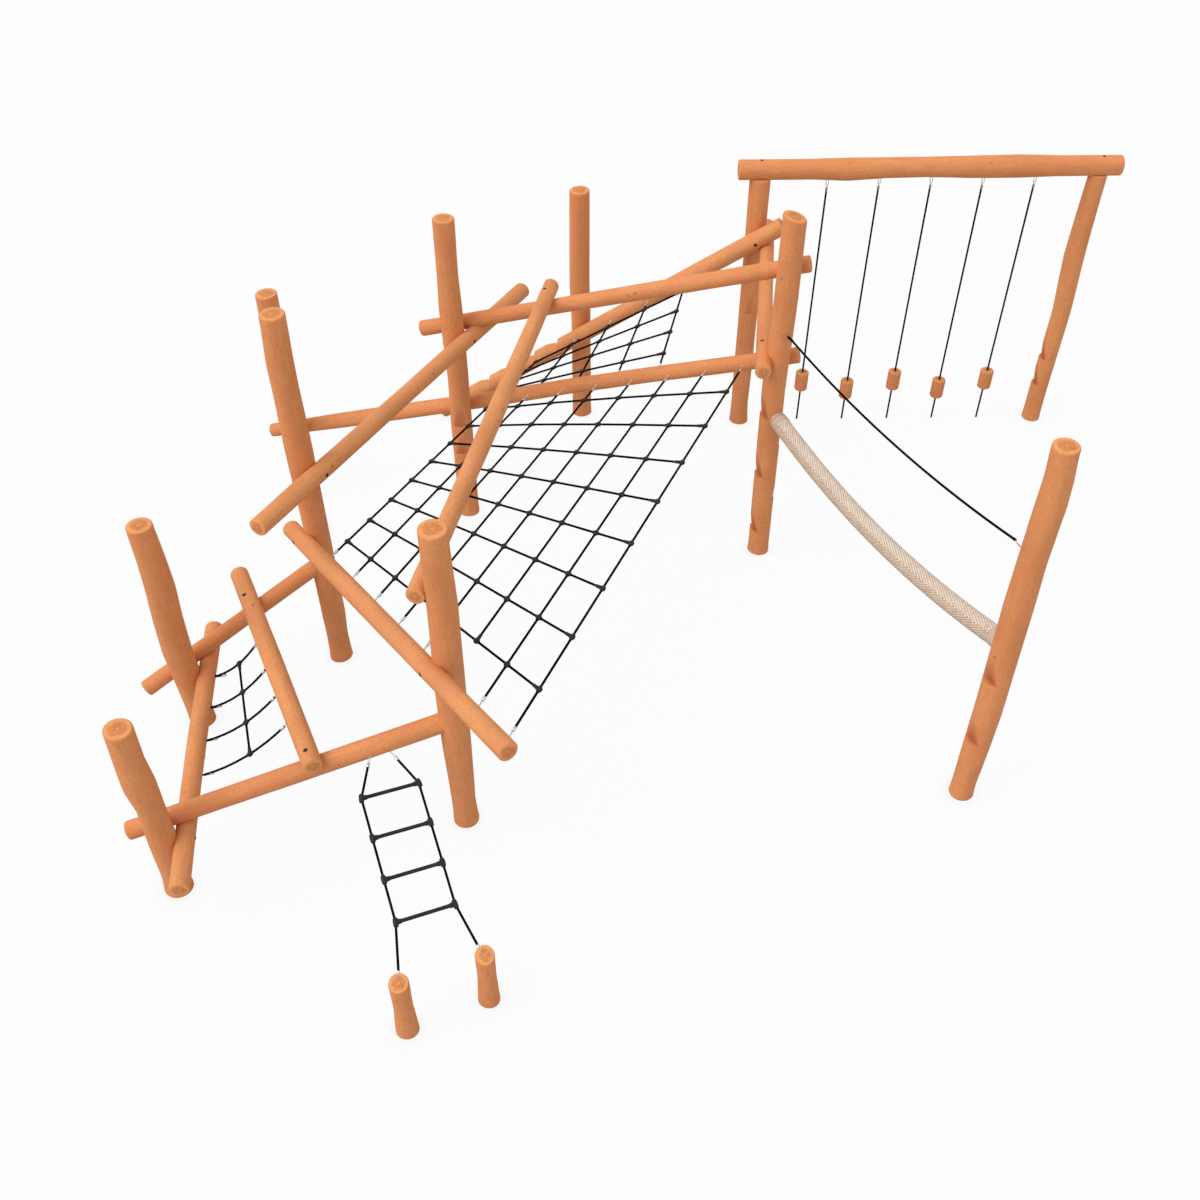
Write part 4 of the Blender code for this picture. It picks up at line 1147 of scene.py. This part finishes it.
def add_light():
    """An even white sky and one very soft sun."""
    world = bpy.data.worlds.new("studio")
    world.use_nodes = True
    world.node_tree.nodes.clear()
    nodes = Nodes(world.node_tree)
    path = nodes.add("LightPath")
    direct = nodes.calculate("MAXIMUM", path.outputs["Is Camera Ray"], path.outputs["Is Glossy Ray"])
    sky = nodes.add("Background", Color=(1, 1, 1), Strength=nodes.spread(direct, 0, 1, WORLD_LIGHT, 1.0))
    nodes.add("OutputWorld", Surface=sky.outputs[0])
    bpy.context.scene.world = world

    sun = bpy.data.lights.new("sun", "SUN")
    sun.energy, sun.angle = SUN_LIGHT, math.radians(SUN_SPREAD)
    lamp = bpy.data.objects.new("sun", sun)
    lamp.rotation_euler = Vector(SUN_FROM).to_track_quat("Z", "Y").to_euler()
    bpy.context.scene.collection.objects.link(lamp)


def add_camera():
    lens = bpy.data.cameras.new("camera")
    lens.lens, lens.sensor_width, lens.clip_end = CAMERA_LENS, SENSOR_WIDTH, CAMERA_REACH
    camera = bpy.data.objects.new("camera", lens)
    camera.location = CAMERA_PLACE
    camera.rotation_euler = (math.radians(90 - CAMERA_PITCH), 0, 0)
    bpy.context.scene.collection.objects.link(camera)
    bpy.context.scene.camera = camera
    bpy.context.scene.view_settings.view_transform = "Standard"


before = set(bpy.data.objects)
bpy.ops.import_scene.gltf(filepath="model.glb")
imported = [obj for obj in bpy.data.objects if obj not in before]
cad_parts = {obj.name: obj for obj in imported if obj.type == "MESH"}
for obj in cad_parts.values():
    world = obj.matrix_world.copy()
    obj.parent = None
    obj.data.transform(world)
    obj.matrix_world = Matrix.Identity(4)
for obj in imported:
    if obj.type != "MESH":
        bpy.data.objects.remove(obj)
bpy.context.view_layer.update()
add_floor()
add_light()
add_camera()

wood = wood_material("oiled_wood_grain", (0.575, 0.203, 0.070), (0.68, 0.258, 0.094), (0.78, 0.325, 0.128),
                     (0.73, 0.255, 0.112))
golden_wood = wood_material("golden_wood_grain", (0.565, 0.214, 0.075), (0.67, 0.272, 0.101),
                            (0.77, 0.343, 0.138), (0.72, 0.269, 0.120))
block_wood = wood_material("block_wood_grain", (0.54, 0.190, 0.066), (0.64, 0.240, 0.087),
                           (0.74, 0.300, 0.118), (0.70, 0.240, 0.105))
# wood of the notches' cut faces; its last colour is the painted shade in their deep corners
tread_wood = wood_material("tread_wood_painted_corner_shade", (0.575, 0.196, 0.068), (0.68, 0.245, 0.090),
                           (0.77, 0.300, 0.118), (0.73, 0.240, 0.105), (0.46, 0.145, 0.053))
end_wood = end_material("end_grain", (0.78, 0.340, 0.128), (0.63, 0.245, 0.088), (0.51, 0.183, 0.068))
black_rope = rope_material("black_rope_lay", (0.002, 0.002, 0.0022), (0.006, 0.006, 0.0066), 0.9, 0.03)
black_plastic = rope_material("moulded_plastic", (0.010, 0.010, 0.011), (0.022, 0.022, 0.024), 0.55, 0.25)
pale_rope = braid_material("pale_braid_painted_shade", (0.26, 0.140, 0.082), (0.63, 0.47, 0.335), (0.86, 0.75, 0.635))
pale_cap = rope_material("pale_whipping", (0.44, 0.325, 0.245), (0.70, 0.57, 0.46), 0.85)
steel = steel_material("galvanised_spangle", (0.52, 0.53, 0.54), (0.76, 0.77, 0.78))
dull_steel = steel_material("weathered_spangle", (0.30, 0.25, 0.21), (0.46, 0.40, 0.35))

timbers = {name: Timber(name) for name in TIMBERS}
rooms, cutters = add_timbers()
add_bolts()
add_net("climbing", *straight_net(**CLIMB_NET))
add_net("upper", *straight_net(**UPPER_NET))
add_net("hammock", *hammock_net())
for number in range(1, HANG_COUNT + 1):
    add_hanging_rope(number)
    add_block(number)
add_ladder()
add_balance_rope(rooms)
add_hand_rope()
for cutter in cutters:
    bpy.data.objects.remove(cutter)
